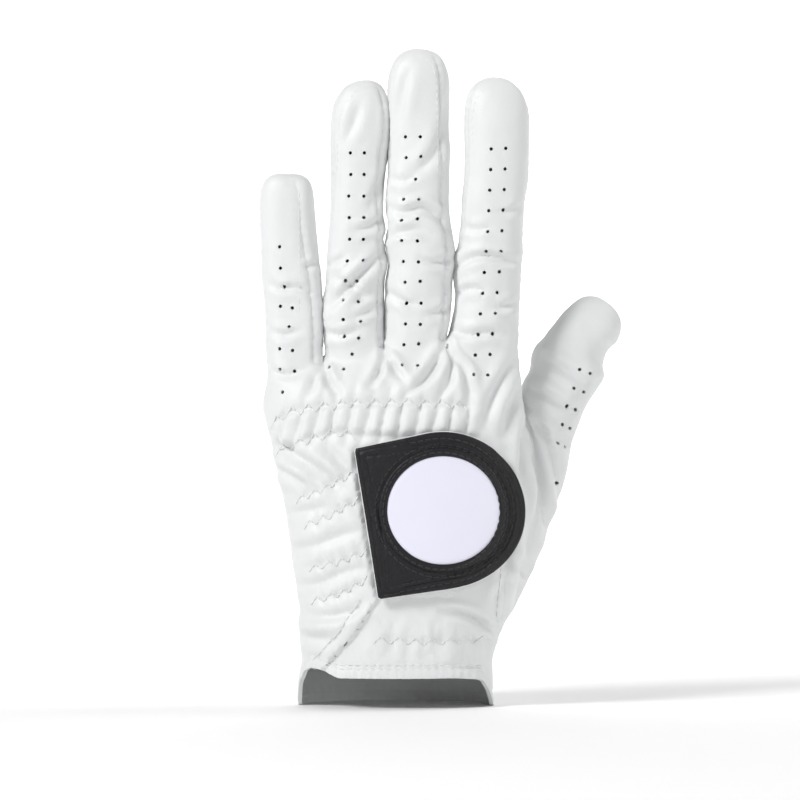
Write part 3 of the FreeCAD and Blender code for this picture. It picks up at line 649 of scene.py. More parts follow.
def cut_pieces(p, tris):
    """Works out the fields that mark the pieces, and cuts the skin along their lines."""
    x, y, z = p.T
    n = vertex_normals(p, tris)
    seam = x - value_on(SEAM, z)
    wall_back, wall_palm = wall_lines(p)
    is_thumb = seam > 0
    wall, under = y - wall_back, y - wall_palm
    wall[is_thumb] = under[is_thumb] = (y - 16.5)[is_thumb]
    slit = x - value_on(SLIT, z)
    hem = z - cuff_level(p)
    past_slit = np.maximum(z - SLIT_TOP, y + 6) * 0.6
    columns = {"seam": seam, "wall": wall, "under": under, "hem_low": hem, "hem_high": hem - HEM,
               "slit": slit, "gap": np.maximum(np.abs(slit) - SLIT_GAP, past_slit),
               "stretch": np.where(is_thumb, 5.0, z - SPLIT),
               "joint": np.where(is_thumb, thumb_along(p) + 4.4, -5.0)}
    data = np.concatenate([p, n, n, np.stack(list(columns.values()), 1)], 1)
    for number, name in enumerate(columns):
        PARTS[name] = 9 + number
    for name in ("hem_low", "hem_high", "seam", "wall", "under", "stretch", "joint", "gap"):
        data, tris = cut_along(data, tris, PARTS[name])
    return cut_holes(data, tris)


def relief(data, n):
    """Height of the leather's folds, gathers and seams over the plain form, at every point."""
    p = data[:, :3]
    x, y, z = p.T
    seam, wall, under, hem, slit = (data[:, PARTS[name]] for name in
                                    ("seam", "wall", "under", "hem_low", "slit"))
    is_thumb = seam > 0
    back = ramp(0.15, -0.45, n[:, 1])
    palm = ramp(-0.15, 0.45, n[:, 1])
    on_back = ramp(-6, -9, y)
    d = back * (fold_relief(x, z, FOLDS) + gather_relief(x, z))
    d += palm * fold_relief(x, z, PALM_FOLDS)
    d += side_bulge(x, z, back)
    crinkle = back * ramp(13, 16, z) * ramp(29, 25, z) * ramp(-12, -5, x)
    d += noise_relief(p) * (0.6 + 0.4 * ramp(8, 20, z))
    d += 1.6 * crinkle * noise_relief(p * np.array([2.6, 2.6, 1.6]))
    # seams of the fingers and the thumb's end: a groove between two low ridges, puckered by the stitches
    slope = np.maximum(0.35, np.sqrt(np.maximum(0, 1 - n[:, 1] ** 2)))
    wall, under = wall / slope, under / slope
    fingers = ramp(99, 104, z) * (~is_thumb) * ramp(0.8, 0.45, n[:, 2])
    for f in (wall, under):
        d += fingers * (0.15 * bell(np.abs(f) - 1.6, 1.0) - 0.4 * bell(f, 0.65))
        d += fingers * 0.12 * np.sin(2 * math.pi * z / 2.7) * bell(f, 1.4)
    thumb_end = is_thumb * ramp(82, 90, z)
    d += thumb_end * (0.15 * bell(np.abs(wall) - 1.8, 1.0) - 0.45 * bell(wall, 0.7))
    # the thumb's set-in seam
    on_seam = ramp(24, 28, z) * ramp(95, 90, z)
    d += on_seam * (0.35 * bell(seam - 2.2, 1.3) + 0.2 * bell(seam + 2.2, 1.3)
                    - 0.5 * bell(seam, 0.8))
    # the flap of the slit lies over the other side, with a rolled and stitched edge
    open_part = on_back * ramp(79, 74, z)
    low_part = open_part * ramp(35, 30, z)
    d += open_part * (0.6 * ramp(-9, -1, slit) * (slit < 0) - 0.3 * ramp(9, 0, slit) * (slit >= 0))
    d += low_part * (slit < 0) * (0.35 * bell(slit + 1.7, 1.3) - 0.35 * bell(slit + 4.2, 0.6))
    # stitched hems
    d += 0.25 * ramp(3.6, 2.2, hem) - 0.3 * (bell(hem - 2.7, 0.4) + bell(hem - 3.9, 0.4))
    d += 0.1 * ramp(6, 3.4, hem) * np.sin(2 * math.pi * x / 2.4)
    # under the tab the leather lies flat
    from_label = np.hypot(x - LABEL[0], z - LABEL[1])
    left_half = (x < LABEL[0]) & (np.abs(z - 56) < 20)
    covered = back * ramp(TAB_R + 1.5, TAB_R - 3, np.where(left_half, 15, from_label))
    covered *= (slit > -0.5) * ramp(-7.5, -9.5, y)
    return d * (1 - 0.85 * covered) - 0.35 * covered


def hole_places():
    """Vent holes on the finger backs: pairs in rows up each finger, a little uneven."""
    places = [(-36, 137.3), (-35.7, 130.9), (-34.6, 125.3), (-33.1, 113.4), (-34.7, 93.6),
              (-14.3, 105.2), (4.6, 157.4), (47.6, 66.4)]
    pairs = [(-35.8, -32.2, 119.2), (-36, -32.1, 106.5), (-35.8, -31.5, 100.3),
             (-16.7, -12.3, 110.2), (-16.8, -11.8, 115.2), (-16.9, -12.4, 121.1)]
    for left, right, z in pairs:
        places += [(left, z + 0.3), (right, z - 0.2)]
    places += [(-21.1, 101.2), (-16.8, 100.8)]
    for k in range(6):
        z = 165.3 - 6.45 * k
        places += [(-14.9 - 0.1 * k + 0.3 * math.sin(2.1 * k), z),
                   (-10.6 - 0.08 * k, z + 0.2 * math.sin(3 * k))]
    places += [(-16.2, 127.0), (-12.9, 127.0)]
    for k in range(12):
        if k != 2:
            z = 170 - 6.2 * k
            wave = 0.55 * math.sin(0.9 * k + 0.6)
            places += [(1.2 + wave, z), (5.7 + wave, z + 0.25 * math.sin(2 * k))]
    for k in range(12):
        z = 166.4 - 6.15 * k
        side = 27.2 - 0.14 * k - 0.033 * k * k
        places += [(side, z), (side + 4.4, z + 0.2)]
    for k in range(5):
        z = 100.6 - 5.5 * k
        side = 54.1 - 1.75 * k
        places += [(side, z), (side + 3.2 - 0.25 * k, z - 1.1)]
    return np.array(places)


def cut_holes(data, tris):
    """Cuts a small round line in the skin at every vent hole."""
    places = hole_places()
    for step in range(HOLE_SPOKES + 1):
        x, z, ny = data[:, 0], data[:, 2], data[:, 4]
        gap = np.full(len(data), 1e9)
        dx, dz = np.full(len(data), 9.0), np.full(len(data), 9.0)
        for hx, hz in places:
            near = (np.abs(x - hx) < 3) & (np.abs(z - hz) < 3) & (ny < -0.1)
            far = np.hypot(x[near] - hx, z[near] - hz)
            nearer = far < gap[near]
            rows = np.flatnonzero(near)[nearer]
            gap[rows] = far[nearer]
            dx[rows], dz[rows] = x[rows] - hx, z[rows] - hz
        if step < HOLE_SPOKES:
            angle = math.pi * step / HOLE_SPOKES
            field = np.where(gap < 1.7, dx * math.cos(angle) + dz * math.sin(angle), 5.0)
        else:
            field = np.minimum(gap - HOLE_RADIUS, 5.0)
        data = np.concatenate([data[:, :9 + len(PARTS)], field[:, None]], 1)
        data, tris = cut_along(data, tris, data.shape[1] - 1)
    PARTS["hole"] = data.shape[1] - 1
    return data, tris


def column(name):
    """A field's mean over every face of the skin."""
    return glove["mean"][:, PARTS[name]]


# ---- Pieces from the skin ----------------------------------------------------------------------------

def shell(name, mask, wall=0.7, lift=0.0, soft=("stretch", "joint")):
    """A closed leather piece from some of the skin: its outside, its inside and its rim. Its edge is
    turned in a little, save where the same leather goes on in the next piece."""
    data = glove["data"]
    tris = glove["tris"][mask]
    used, where = np.unique(tris, return_inverse=True)
    tris = where.reshape(-1, 3)
    rows = data[used]
    edges = np.concatenate([tris[:, [0, 1]], tris[:, [1, 2]], tris[:, [2, 0]]])
    keys = edges[:, 0] * len(used) + edges[:, 1]
    back_keys = edges[:, 1] * len(used) + edges[:, 0]
    rim = edges[~np.isin(keys, back_keys)]
    normal = rows[:, 6:9]
    outer = rows[:, 3:6] + normal * lift
    turned = np.zeros(len(used), bool)
    turned[rim.ravel()] = True
    for part in soft:
        turned &= np.abs(rows[:, PARTS[part]]) > 0.03
    outer = outer - normal * (turned * RIM_TURN)[:, None]
    inner = rows[:, 3:6] + normal * (lift - wall)
    count = len(used)
    sides = np.stack([rim[:, 1], rim[:, 0], rim[:, 0] + count, rim[:, 1] + count], 1)
    inside = tris[:, ::-1] + count
    # the rim is shaded flat, the two skins smoothly
    a, b = outer[rim[:, 0]], outer[rim[:, 1]]
    flat = np.cross(a - b, inner[rim[:, 0]] - a)
    flat /= np.maximum(np.linalg.norm(flat, axis=1, keepdims=True), 1e-9)
    normals = np.concatenate([normal[tris.ravel()], -normal[(inside - count).ravel()],
                              np.repeat(flat, 4, axis=0)])
    return mesh_object(name, np.concatenate([outer, inner]), [tris, inside, sides], normals)


def dress(thing, look, nodes, body=None, blend=None, slot=None):
    """Gives a piece its finish and hides the CAD nodes it stands for; puts it on its body, or with blend only
    bakes its transform. The slot is not used.
    """
    thing.data.materials.clear()
    thing.data.materials.append(glove["finish"][look])
    if blend:
        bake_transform(thing)
    else:
        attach(thing, body)
    if nodes:
        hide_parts(*nodes)
    return thing


def joint_at(name):
    """Place and axis of a joint of the frame, in millimetres."""
    found = next(j for j in frame["joints"] if j["name"] == name)
    return np.array(found["pos_m"]) / MM, np.array(found["axis"])


KNUCKLE = ("hand", "finger_block", (0, 0, 90), (0, 0, 106))


def finger_bend(name, reach=10.5):
    """Bodies and ends of the stretch that bends at a finger's middle joint."""
    place, axis = joint_at(f"{name}_flex")
    up = np.array([axis[2], 0, -axis[0]])
    return ("finger_block", f"{name}_tip", tuple(place - up * reach), tuple(place + up * reach))


def thumb_root_bend():
    """Bodies and ends of the stretch that folds at the thumb's set-in seam."""
    lean, reach = math.atan(0.106), 6.5
    start = np.array([33.6, 14, 55])
    across = np.array([math.cos(lean), 0, -math.sin(lean)])
    return ("hand", "thumb", tuple(start), tuple(start + reach * across))


def thumb_bend():
    """Bodies and ends of the stretch that bends at the thumb's joint."""
    place, _ = joint_at("thumb_flex")
    up = np.array([math.sin(THUMB_LEAN), 0, math.cos(THUMB_LEAN)])
    return ("thumb", "thumb_tip", tuple(place - up * 4.0), tuple(place + up * 9.0))


def kept():
    """The faces above the cuff's edge and outside the vent holes."""
    return (column("hem_low") > 0) & (column("hole") > 0)


def leather_faces():
    """The kept faces above the hem, those of the thumb and those of the rest."""
    leather, thumb = kept() & (column("hem_high") > 0), column("seam") > 0
    return leather & thumb, leather & ~thumb


# ---- Stitches ------------------------------------------------------------------------------------------

def on_skin(x, z, lift, surface=None):
    """The point of the skin at (x, z), met from the back, and its normal."""
    far_back = -80.0
    surface = surface or glove["surface"]
    place, normal, _, _ = surface.ray_cast(Vector((x, far_back, z)), Vector((0, 1, 0)))
    if place is None:
        return None, None
    if normal.y > 0:
        normal = -normal
    return place + normal * lift, normal


def even(line, step, start=0.0):
    """Points at even steps along a polyline."""
    line = np.array(line, float)
    runs = np.concatenate([[0], np.cumsum(np.linalg.norm(np.diff(line, axis=0), axis=1))])
    at = np.arange(start, runs[-1], step)
    return np.stack([np.interp(at, runs, line[:, k]) for k in range(line.shape[1])], 1)


def zigzag(line, tooth, high):
    """A zigzag over a polyline, as points (x, z)."""
    points = even(line, tooth / 2)
    return [(x + 0.05 * tooth * math.sin(5 * k), z + (high / 2 if k % 2 else -high / 2))
            for k, (x, z) in enumerate(points)]


def stitch_lines(line, corners=False, length=1.7, gap=0.55):
    """Start and end of each stitch along a polyline. With corners, two run along each side."""
    if corners:
        shares = ((0.02, 0.46), (0.54, 0.98))
        return [((a[0] + (b[0] - a[0]) * s, a[1] + (b[1] - a[1]) * s),
                 (a[0] + (b[0] - a[0]) * e, a[1] + (b[1] - a[1]) * e))
                for a, b in zip(line[:-1], line[1:]) for s, e in shares]
    step = 0.05
    points = even(line, step)
    count = max(2, int((length + gap) / step))
    size = int(length / step)
    return [(points[k], points[min(k + size, len(points) - 1)])
            for k in range(0, len(points) - size // 2, count)]


def sew(name, seams, look, slot, thick=0.4, lift=0.2, surface=None, corners=False, **binding):
    """Stitches along lines of (x, z): short rounded threads that lie on the skin."""
    sides, shortest, longest = 6, 0.3, 3.5
    ring = [(math.cos(a), math.sin(a)) for a in np.linspace(0, 2 * math.pi, sides, endpoint=False)]
    profile = [(-0.5, 0.25), (-0.36, 0.85), (0.0, 1.0), (0.36, 0.85), (0.5, 0.25)]
    points, quads, fans = [], [], []
    count = 0
    for seam in seams:
        for start, end in stitch_lines(seam, corners):
            a, na = on_skin(*start, lift, surface)
            b, nb = on_skin(*end, lift, surface)
            if a is None or b is None or not shortest <= (a - b).length <= longest:
                continue
            along = b - a
            length = along.length
            along.normalize()
            up = (na + nb).normalized()
            side = along.cross(up).normalized()
            up = side.cross(along)
            middle = (a + b) / 2
            for t, r in profile:
                sink = (0.25 - t * t) * thick * 0.9
                centre = middle + along * (t * length) + up * (sink - 0.12)
                for u, v in ring:
                    points.append(centre + side * (u * r * thick / 2) + up * (v * r * thick / 2))
            last = count + (len(profile) - 1) * sides
            for low in range(count, last, sides):
                for i in range(sides):
                    j = (i + 1) % sides
                    quads.append((low + j, low + i, low + sides + i, low + sides + j))
            for i in range(1, sides - 1):
                fans.append((count, count + i, count + i + 1))
                fans.append((last, last + i + 1, last + i))
            count = last + sides
    made = mesh_object(name, np.array(points), [np.array(quads), np.array(fans)])
    dress(made, look, [], slot=slot, **binding)


# ---- Layers draped over the hand's form ----------------------------------------------------------------

def hand_surface(x, z, palm):
    """Where the plain hand form lies at (x, z), on its back or its palm, as y."""
    left, right, back, front = hand_section(z)
    side, wide = (left + right) / 2, (right - left) / 2
    t = np.clip(np.abs((x - side) / wide), 0, 0.985)
    depth = (1 - t ** HAND_SHAPE) ** (1 / HAND_SHAPE)
    if palm:
        return MIDDLE_Y + (front - MIDDLE_Y) * depth
    return MIDDLE_Y - (MIDDLE_Y - back) * depth


def draped(name, grid_x, grid_z, low, high, palm=False, closed=False):
    """A layer over the hand: a grid of (x, z), from one height over the form to another. Heights are
    numbers or grids. With closed, the grid's columns run round a centre."""
    shape = grid_x.shape
    eps = 0.4
    y = hand_surface(grid_x, grid_z, palm)
    gx = (hand_surface(grid_x + eps, grid_z, palm) - hand_surface(grid_x - eps, grid_z, palm)) / (2 * eps)
    gz = (hand_surface(grid_x, grid_z + eps, palm) - hand_surface(grid_x, grid_z - eps, palm)) / (2 * eps)
    sign = 1.0 if palm else -1.0
    normal = np.stack([-gx * sign, np.full(shape, sign), -gz * sign], -1)
    normal /= np.linalg.norm(normal, axis=-1, keepdims=True)
    base = np.stack([grid_x, y, grid_z], -1)
    top, bottom = (base + normal * np.broadcast_to(np.asarray(level, float), shape)[..., None]
                   for level in (high, low))
    rows, cols = shape
    count = rows * cols
    r, c = np.meshgrid(np.arange(rows - 1), np.arange(cols if closed else cols - 1), indexing="ij")
    d = (c + 1) % cols
    quads = np.stack([r * cols + c, r * cols + d, (r + 1) * cols + d, (r + 1) * cols + c], -1)
    quads = quads.reshape(-1, 4)
    if closed:
        border = [(rows - 1) * cols + k for k in range(cols)]
    else:
        border = list(range(cols)) + [k * cols + cols - 1 for k in range(1, rows)]
        border += [(rows - 1) * cols + k for k in range(cols - 2, -1, -1)]
        border += [k * cols for k in range(rows - 2, 0, -1)]
    b = np.array(border)
    nxt = np.roll(b, -1)
    points = np.concatenate([top.reshape(-1, 3), bottom.reshape(-1, 3)])
    sides = np.stack([nxt, b, b + count, nxt + count], 1)
    made = mesh_object(name, points, [quads, quads[:, ::-1] + count, sides])
    flip_if_inward(made)
    bpy.context.view_layer.objects.active = made
    deselect()
    made.select_set(True)
    bpy.ops.object.shade_smooth_by_angle(angle=math.radians(40))
    return made


def flip_if_inward(thing):
    """Turns the faces round if the closed mesh's volume comes out negative."""
    points, tris = vertex_array(thing), triangle_array(thing)
    a, b, c = (points[tris[:, k]] for k in range(3))
    if np.einsum("ij,ij->i", a, np.cross(b, c)).sum() < 0:
        thing.data.flip_normals()


TAB_CORNERS = [(-13.4, 77.0), (-6.3, 32.4)]
TAB_STEPS = np.concatenate([np.linspace(0.002, 0.55, 10), np.linspace(0.58, 0.97, 40),
                            [0.98, 0.99, 0.996, 1.0]])


def tab_reach(angle, inset=0.0):
    """Distance from the label's centre to the edge of the D, in one direction."""
    dx, dz = math.cos(angle), math.sin(angle)
    corners = TAB_CORNERS
    flanks = []
    for (cx, cz), sign in zip(corners, (1, -1)):
        vx, vz = cx - LABEL[0], cz - LABEL[1]
        far = math.hypot(vx, vz)
        base = math.atan2(vz, vx)
        touch = base - sign * math.acos(TAB_R / far)
        flanks.append((math.cos(touch), math.sin(touch), TAB_R, touch))
    ex, ez = corners[1][0] - corners[0][0], corners[1][1] - corners[0][1]
    run = math.hypot(ex, ez)
    nx, nz = ez / run, -ex / run
    root = (corners[0][0] - LABEL[0]) * nx + (corners[0][1] - LABEL[1]) * nz
    if root < 0:
        nx, nz, root = -nx, -nz, -root
    limits = []
    for ux, uz, far in [side[:3] for side in flanks] + [(nx, nz, root)]:
        facing = dx * ux + dz * uz
        if facing > 1e-6:
            limits.append(far / facing)
    high, low, here = (v % (2 * math.pi) for v in (flanks[0][3], flanks[1][3], angle))
    on_arc = low <= here or here <= high
    return (TAB_R if on_arc else min(limits)) - inset


def round_label(radii, angles):
    """Points (x, z) at distances from the label's centre, in directions round it."""
    return LABEL[0] + radii * np.cos(angles), LABEL[1] + radii * np.sin(angles)


def tab_grid(inset=0.0):
    """A fan of points over the D, from the label's centre to its edge, and how far inside it is."""
    angles = np.linspace(0, 2 * math.pi, 220, endpoint=False)
    reach = np.array([tab_reach(a, inset) for a in angles])
    return *round_label(np.outer(TAB_STEPS, reach), angles), np.outer(1 - TAB_STEPS, reach)


# ---- Materials ------------------------------------------------------------------------------------------


BUMP_NODES = {         # kind of bump: its node, the output that gives its height, one setting
    "cells": ("ShaderNodeTexVoronoi", "Distance", {}),
    "weave": ("ShaderNodeTexWave", "Fac", {"Distortion": 1.5}),
    "noise": ("ShaderNodeTexNoise", "Fac", {"Detail": 4}),
}


def material(name, color, rough, bumps=(), sheen=0.0, tint=0.0):
    """A plain procedural finish: a colour with a slight unevenness, and bumps of given kinds."""
    made = bpy.data.materials.new(name)
    made.use_nodes = True
    made.diffuse_color = (*color, 1)
    tree = made.node_tree
    shader = tree.nodes["Principled BSDF"]
    is_dark = sum(color) <= 0.5

    def put(node, **values):
        for key, value in values.items():
            node.inputs[key.replace("_", " ")].default_value = value
        return node

    put(shader, Base_Color=(*color, 1), Roughness=rough, Sheen_Weight=sheen,
        Specular_IOR_Level=0.3 if is_dark else 0.5)
    where = tree.nodes.new("ShaderNodeTexCoord")
    if tint:
        patch = put(tree.nodes.new("ShaderNodeTexNoise"), Scale=45)
        tree.links.new(where.outputs["Object"], patch.inputs["Vector"])
        mix = tree.nodes.new("ShaderNodeMix")
        mix.data_type = "RGBA"
        put(mix, A=(*color, 1), B=(*[c * (1 - tint) for c in color], 1))
        tree.links.new(patch.outputs["Fac"], mix.inputs["Factor"])
        tree.links.new(mix.outputs["Result"], shader.inputs["Base Color"])
    last = None
    for kind, scale, strength, distance in bumps:
        node, out, settings = BUMP_NODES[kind]
        source = put(tree.nodes.new(node), Scale=scale, **settings)
        tree.links.new(where.outputs["Object"], source.inputs["Vector"])
        bump = put(tree.nodes.new("ShaderNodeBump"), Strength=strength, Distance=distance)
        tree.links.new(source.outputs[out], bump.inputs["Height"])
        if last:
            tree.links.new(last.outputs["Normal"], bump.inputs["Normal"])
        last = bump
    if last:
        tree.links.new(last.outputs["Normal"], shader.inputs["Normal"])
    return made


def finishes():
    """Makes every finish. Each row: name, colour, roughness, bumps, sheen, unevenness of colour."""
    sizes = bpy.context.scene.golf_glove
    white, black = tuple(sizes.leather_color), tuple(sizes.tab_color)
    skin = (("cells", 1900, 0.12, 0.0002), ("noise", 700, 0.10, 0.0004))
    hide = (("cells", 1000, 0.5, 0.0003), ("noise", 350, 0.35, 0.0008))
    fibre = (("weave", 3000, 0.3, 0.0001),)

    def tone(color, share):
        return tuple(c * share for c in color)

    looks = {
        "white": ("white_leather", white, 0.52, skin, 0.1, 0.03),
        "side": ("side_leather", tone(white, 0.985), 0.55, skin, 0.1, 0.03),
        "hem": ("hem_leather", tone(white, 0.99), 0.55, skin, 0.1, 0.03),
        "elastic": ("elastic_band", (0.8, 0.8, 0.8), 0.8, (("weave", 900, 0.4, 0.0003),), 0.2),
        "loop": ("loop_pile", tone(white, 1.02), 0.75, (("noise", 1500, 0.6, 0.0006),), 0.2),
        "hook": ("hook_pile", (0.78, 0.78, 0.8), 0.6, (("cells", 1100, 0.8, 0.0006),), 0.1),
        "lining": ("lining_cloth", (0.82, 0.82, 0.82), 0.85, (("weave", 1400, 0.3, 0.0002),), 0.2),
        "black": ("black_leather", black, 0.5, hide, 0.0, 0.2),
        "trim": ("black_trim", tone(black, 0.9), 0.45, (("cells", 1300, 0.4, 0.0003),)),
        "label": ("label_face", tuple(sizes.label_color), 0.4, (("weave", 2200, 0.06, 0.0001),),
                  0.0, 0.02),
        "thread": ("white_thread", (0.8, 0.81, 0.81), 0.6, fibre, 0.2),
        "dark_thread": ("black_thread", (0.02, 0.02, 0.022), 0.5, fibre, 0.2),
    }
    glove["finish"] = {look: material(*values) for look, values in looks.items()}


# ---- The add-on --------------------------------------------------------------------------------------------

def length_property(name, description, default):
    return bpy.props.FloatProperty(name=name, description=description, default=default, unit="LENGTH")


def color_property(name, description, default):
    return bpy.props.FloatVectorProperty(name=name, description=description, subtype="COLOR", size=3,
                                         default=default)


class GloveSizes(bpy.types.PropertyGroup):
    """Sizes and colours that can be set in the panel"""
    wall: length_property("Leather", "Thickness of the leather", 0.0007)
    voxel: length_property("Detail", "Size of the skin's faces", 0.0008)
    leather_color: color_property("Leather colour", "Colour of the glove", (0.74, 0.75, 0.752))
    tab_color: color_property("Tab colour", "Colour of the closure tab", (0.012, 0.012, 0.014))
    label_color: color_property("Label colour", "Colour of the round label", (0.79, 0.785, 0.90))


class GLOVE_OT_form(bpy.types.Operator):
    """Makes the glove's form and marks out its pieces"""
    bl_idname = "glove.form"
    bl_label = "Form"

    def execute(self, context):
        glove["voxel"] = context.scene.golf_glove.voxel / MM
        glove["wall"] = context.scene.golf_glove.wall / MM
        finishes()
        build_form()
        return {"FINISHED"}


class GLOVE_OT_hand(bpy.types.Operator):
    """Makes the leather of the hand and of the lower fingers"""
    bl_idname = "glove.hand"
    bl_label = "Hand leather"

    def execute(self, context):
        low = leather_faces()[1] & (column("stretch") < 0) & (column("gap") > 0)
        back, palm = column("wall") < 0, column("under") > 0
        for side, region in (("back", back), ("palm", palm)):
            dress(shell(f"leather_{side}", low & region, glove["wall"]), "white",
                  [f"{side}_panel", f"knuckle_fold_{side}", *[f"{n}_{side}_lower" for n in FINGERS]],
                  blend=KNUCKLE)
        side_walls(low & ~back & ~palm, "lower", KNUCKLE)
        return {"FINISHED"}


def side_walls(region, stretch, binding=None):
    """The strips of leather between the fingers."""
    x, z = glove["mean"][:, 0], glove["mean"][:, 2]
    which = finger_of(x, z)
    for number, name in enumerate(FINGERS):
        centre = finger_centre(OUTLINES[name], z)
        for side, right in (("little", False), ("index", True)):
            node = f"{name}_sidewall_to_{side}_{stretch}"
            if node not in frame["nodes"]:
                continue
            made = shell(f"side_wall_{name}_{side}_{stretch}",
                         region & (which == number) & ((x > centre) == right), glove["wall"])
            dress(made, "side", [node], blend=binding or finger_bend(name))


class GLOVE_OT_fingers(bpy.types.Operator):
    """Makes the leather of the finger ends"""
    bl_idname = "glove.fingers"
    bl_label = "Finger leather"

    def execute(self, context):
        high = leather_faces()[1] & (column("stretch") > 0)
        back, palm = column("wall") < 0, column("under") > 0
        which = finger_of(glove["mean"][:, 0], glove["mean"][:, 2])
        for number, name in enumerate(FINGERS):
            mine = high & (which == number)
            dress(shell(f"finger_back_{name}", mine & back, glove["wall"]), "white",
                  [f"{name}_back_upper", f"{name}_joint_fold"], blend=finger_bend(name))
            dress(shell(f"finger_palm_{name}", mine & palm, glove["wall"]), "white",
                  [f"{name}_palm_upper"], blend=finger_bend(name))
        side_walls(high & ~back & ~palm, "upper")
        return {"FINISHED"}


class GLOVE_OT_thumb(bpy.types.Operator):
    """Makes the leather of the thumb"""
    bl_idname = "glove.thumb"
    bl_label = "Thumb leather"

    def execute(self, context):
        thumb = leather_faces()[0]
        end, back = column("joint") > 0, column("wall") < 0
        for name, region, nodes, bend in (
                ("thumb_leather", ~end, ["thumb_base_fold", "thumb_lower"], thumb_root_bend()),
                ("thumb_end_back", end & back, ["thumb_fold", "thumb_tip_back"], thumb_bend()),
                ("thumb_end_palm", end & ~back, ["thumb_tip_palm"], thumb_bend())):
            dress(shell(name, thumb & region, glove["wall"]), "white", nodes, blend=bend)
        return {"FINISHED"}


class GLOVE_OT_cuff(bpy.types.Operator):
    """Makes the cuff's hems, the slit's facing and the elastic bands inside"""
    bl_idname = "glove.cuff"
    bl_label = "Cuff"

    def execute(self, context):
        hem = kept() & (column("hem_high") < 0) & (column("gap") > 0)
        rear = glove["mean"][:, 1] < -3.0
        hem_wall, hem_lift = 1.3, 0.22
        right = column("slit") > 0
        for name, region, node in (("hem_back", rear & right, "cuff_hem_back"),
                                   ("hem_side", rear & ~right, "cuff_hem_side"),
                                   ("hem_palm", ~rear, "cuff_hem_palm")):
            dress(shell(name, hem & region, hem_wall, hem_lift), "hem", [node], body="hand")
        heights = np.linspace(12.5, 74, 40)
        gx = np.stack([value_on(SLIT, heights) + side for side in (-6, -4, -2, -0.5, 1)], 1)
        gz = np.stack([heights] * 5, 1)
        dress(draped("slit_facing_strip", gx, gz, -1.4, -0.85), "white", ["slit_facing"], body="hand")
        # elastic bands: name, first and last x, steps, lower edge, height, node, on the palm
        wrist = [(-30, 16.5), (30, 16.5)]
        for name, left, right, steps, bottom, tall, node, palm in (
                ("band_wrist_back", -4, 24, 30, wrist, 9, "wrist_elastic_back", False),
                ("band_wrist_palm", -24, 22, 40, wrist, 9, "wrist_elastic_palm", True),
                ("band_knuckles", -34, 30, 60, KNUCKLE_LOW, 9, "knuckle_elastic", False),
                ("band_side_low", -28, -17, 14, SIDE_ROWS[3], 8, "side_elastic_low", False),
                ("band_side_high", -31, -19, 14, SIDE_ROWS[1], 8, "side_elastic_high", False)):
            across, up = np.linspace(left, right, steps), np.linspace(0, tall, 8)
            gx = np.tile(across, (len(up), 1))
            gz = value_on(bottom, across)[None, :] + up[:, None]
            ripple = 0.12 * np.sin(gx * 2.5)
            dress(draped(name, gx, gz, -2.2 + ripple, -1.5 + ripple, palm=palm), "elastic", [node],
                  body="hand")
        return {"FINISHED"}


class GLOVE_OT_tab(bpy.types.Operator):
    """Makes the closure tab with its round label"""
    bl_idname = "glove.tab"
    bl_label = "Closure tab"

    def execute(self, context):
        loop_patch()
        hook_patch()
        gx, gz, inset = tab_grid()
        top = 2.4 - 0.15 * bell(inset, 0.25)
        on_tab("tab_lining_cloth", gx, gz, 2.0, top, "lining", "tab_lining")
        gx, gz, inset = tab_grid(0.35)
        top = 3.4 - 0.45 * bell(inset, 0.5) + 0.06 * np.sin(gx * 0.7 + 1) * np.sin(gz * 0.5)
        for row in (1.5, 4.0):         # the grooves that the two stitch rows pull
            top = top - 0.28 * bell(inset - row, 0.35)
        on_tab("tab_leather_face", gx, gz, 2.42, top, "black", "tab_leather")
        label_ring()
        edge_band()
        angles = np.linspace(0, 2 * math.pi, 96, endpoint=False)
        steps = np.concatenate([np.linspace(0.002, 0.9, 10), [0.95, 0.98, 1.0]])
        gx, gz = round_label((steps * LABEL_R)[:, None], angles)
        top = (3.85 - 0.25 * bell(1 - steps, 0.02))[:, None]
        on_tab("round_label", gx, gz, 3.45, top, "label", "label_disc")
        surface_of_tab()
        lines = [[tab_point(tab_reach(a) - inset, a) for a in np.linspace(-2.05, 2.05, 160)]
                 for inset in (1.85, 4.35)]
        lines += [[tab_point(r, a) for a in np.linspace(0, 2 * math.pi, 200)] for r in (17.3, 19.6)]
        sew("tab_stitches", lines, "dark_thread", "black_trim", 0.42, 0.1, glove["tab_surface"],
            body="tab")
        return {"FINISHED"}


def tab_point(far, angle):
    """The point (x, z) at a distance from the label's centre."""
    return LABEL[0] + far * math.cos(angle), LABEL[1] + far * math.sin(angle)


def on_tab(name, gx, gz, low, top, look, node, closed=True):
    """One layer of the tab."""
    dress(draped(name, gx, gz, low, top, closed=closed), look, [node], body="tab")


def loop_patch():
    """The loop patch under the tab, running out into the leather at its lower and right edges."""
    low, high, right = 31.0, 75, 22
    share, v = np.meshgrid(np.linspace(0, 1, 40), np.linspace(0, 1, 60))
    v = low + 0.5 * np.sin(share * 21) + (high - low) * v
    left = np.interp(v, [28, 32.4, 77], [-6.0, -4.6, -11.6]) + 1.2
    rise = -0.25 + 0.75 * ramp(0, 4.5, v - low) * ramp(1.0, 0.6, share)
    made = draped("loop_pile_patch", left + (right - left) * share, v, -0.6, rise)
    dress(made, "loop", ["loop_patch"], body="hand")


def hook_patch():
    """The hook patch inside the tab: a rectangle that ends at a circle."""
    reach = 21.0
    u, v = np.meshgrid(np.linspace(0.5, 27.5, 30), np.linspace(39.5, 75.5, 40))
    pull = np.minimum(1, reach / np.maximum(np.hypot(u - LABEL[0], v - LABEL[1]), 1e-6))
    u, v = LABEL[0] + (u - LABEL[0]) * pull, LABEL[1] + (v - LABEL[1]) * pull
    on_tab("hook_pile_patch", u, v, 1.25, 1.95, "hook", "hook_patch", closed=False)


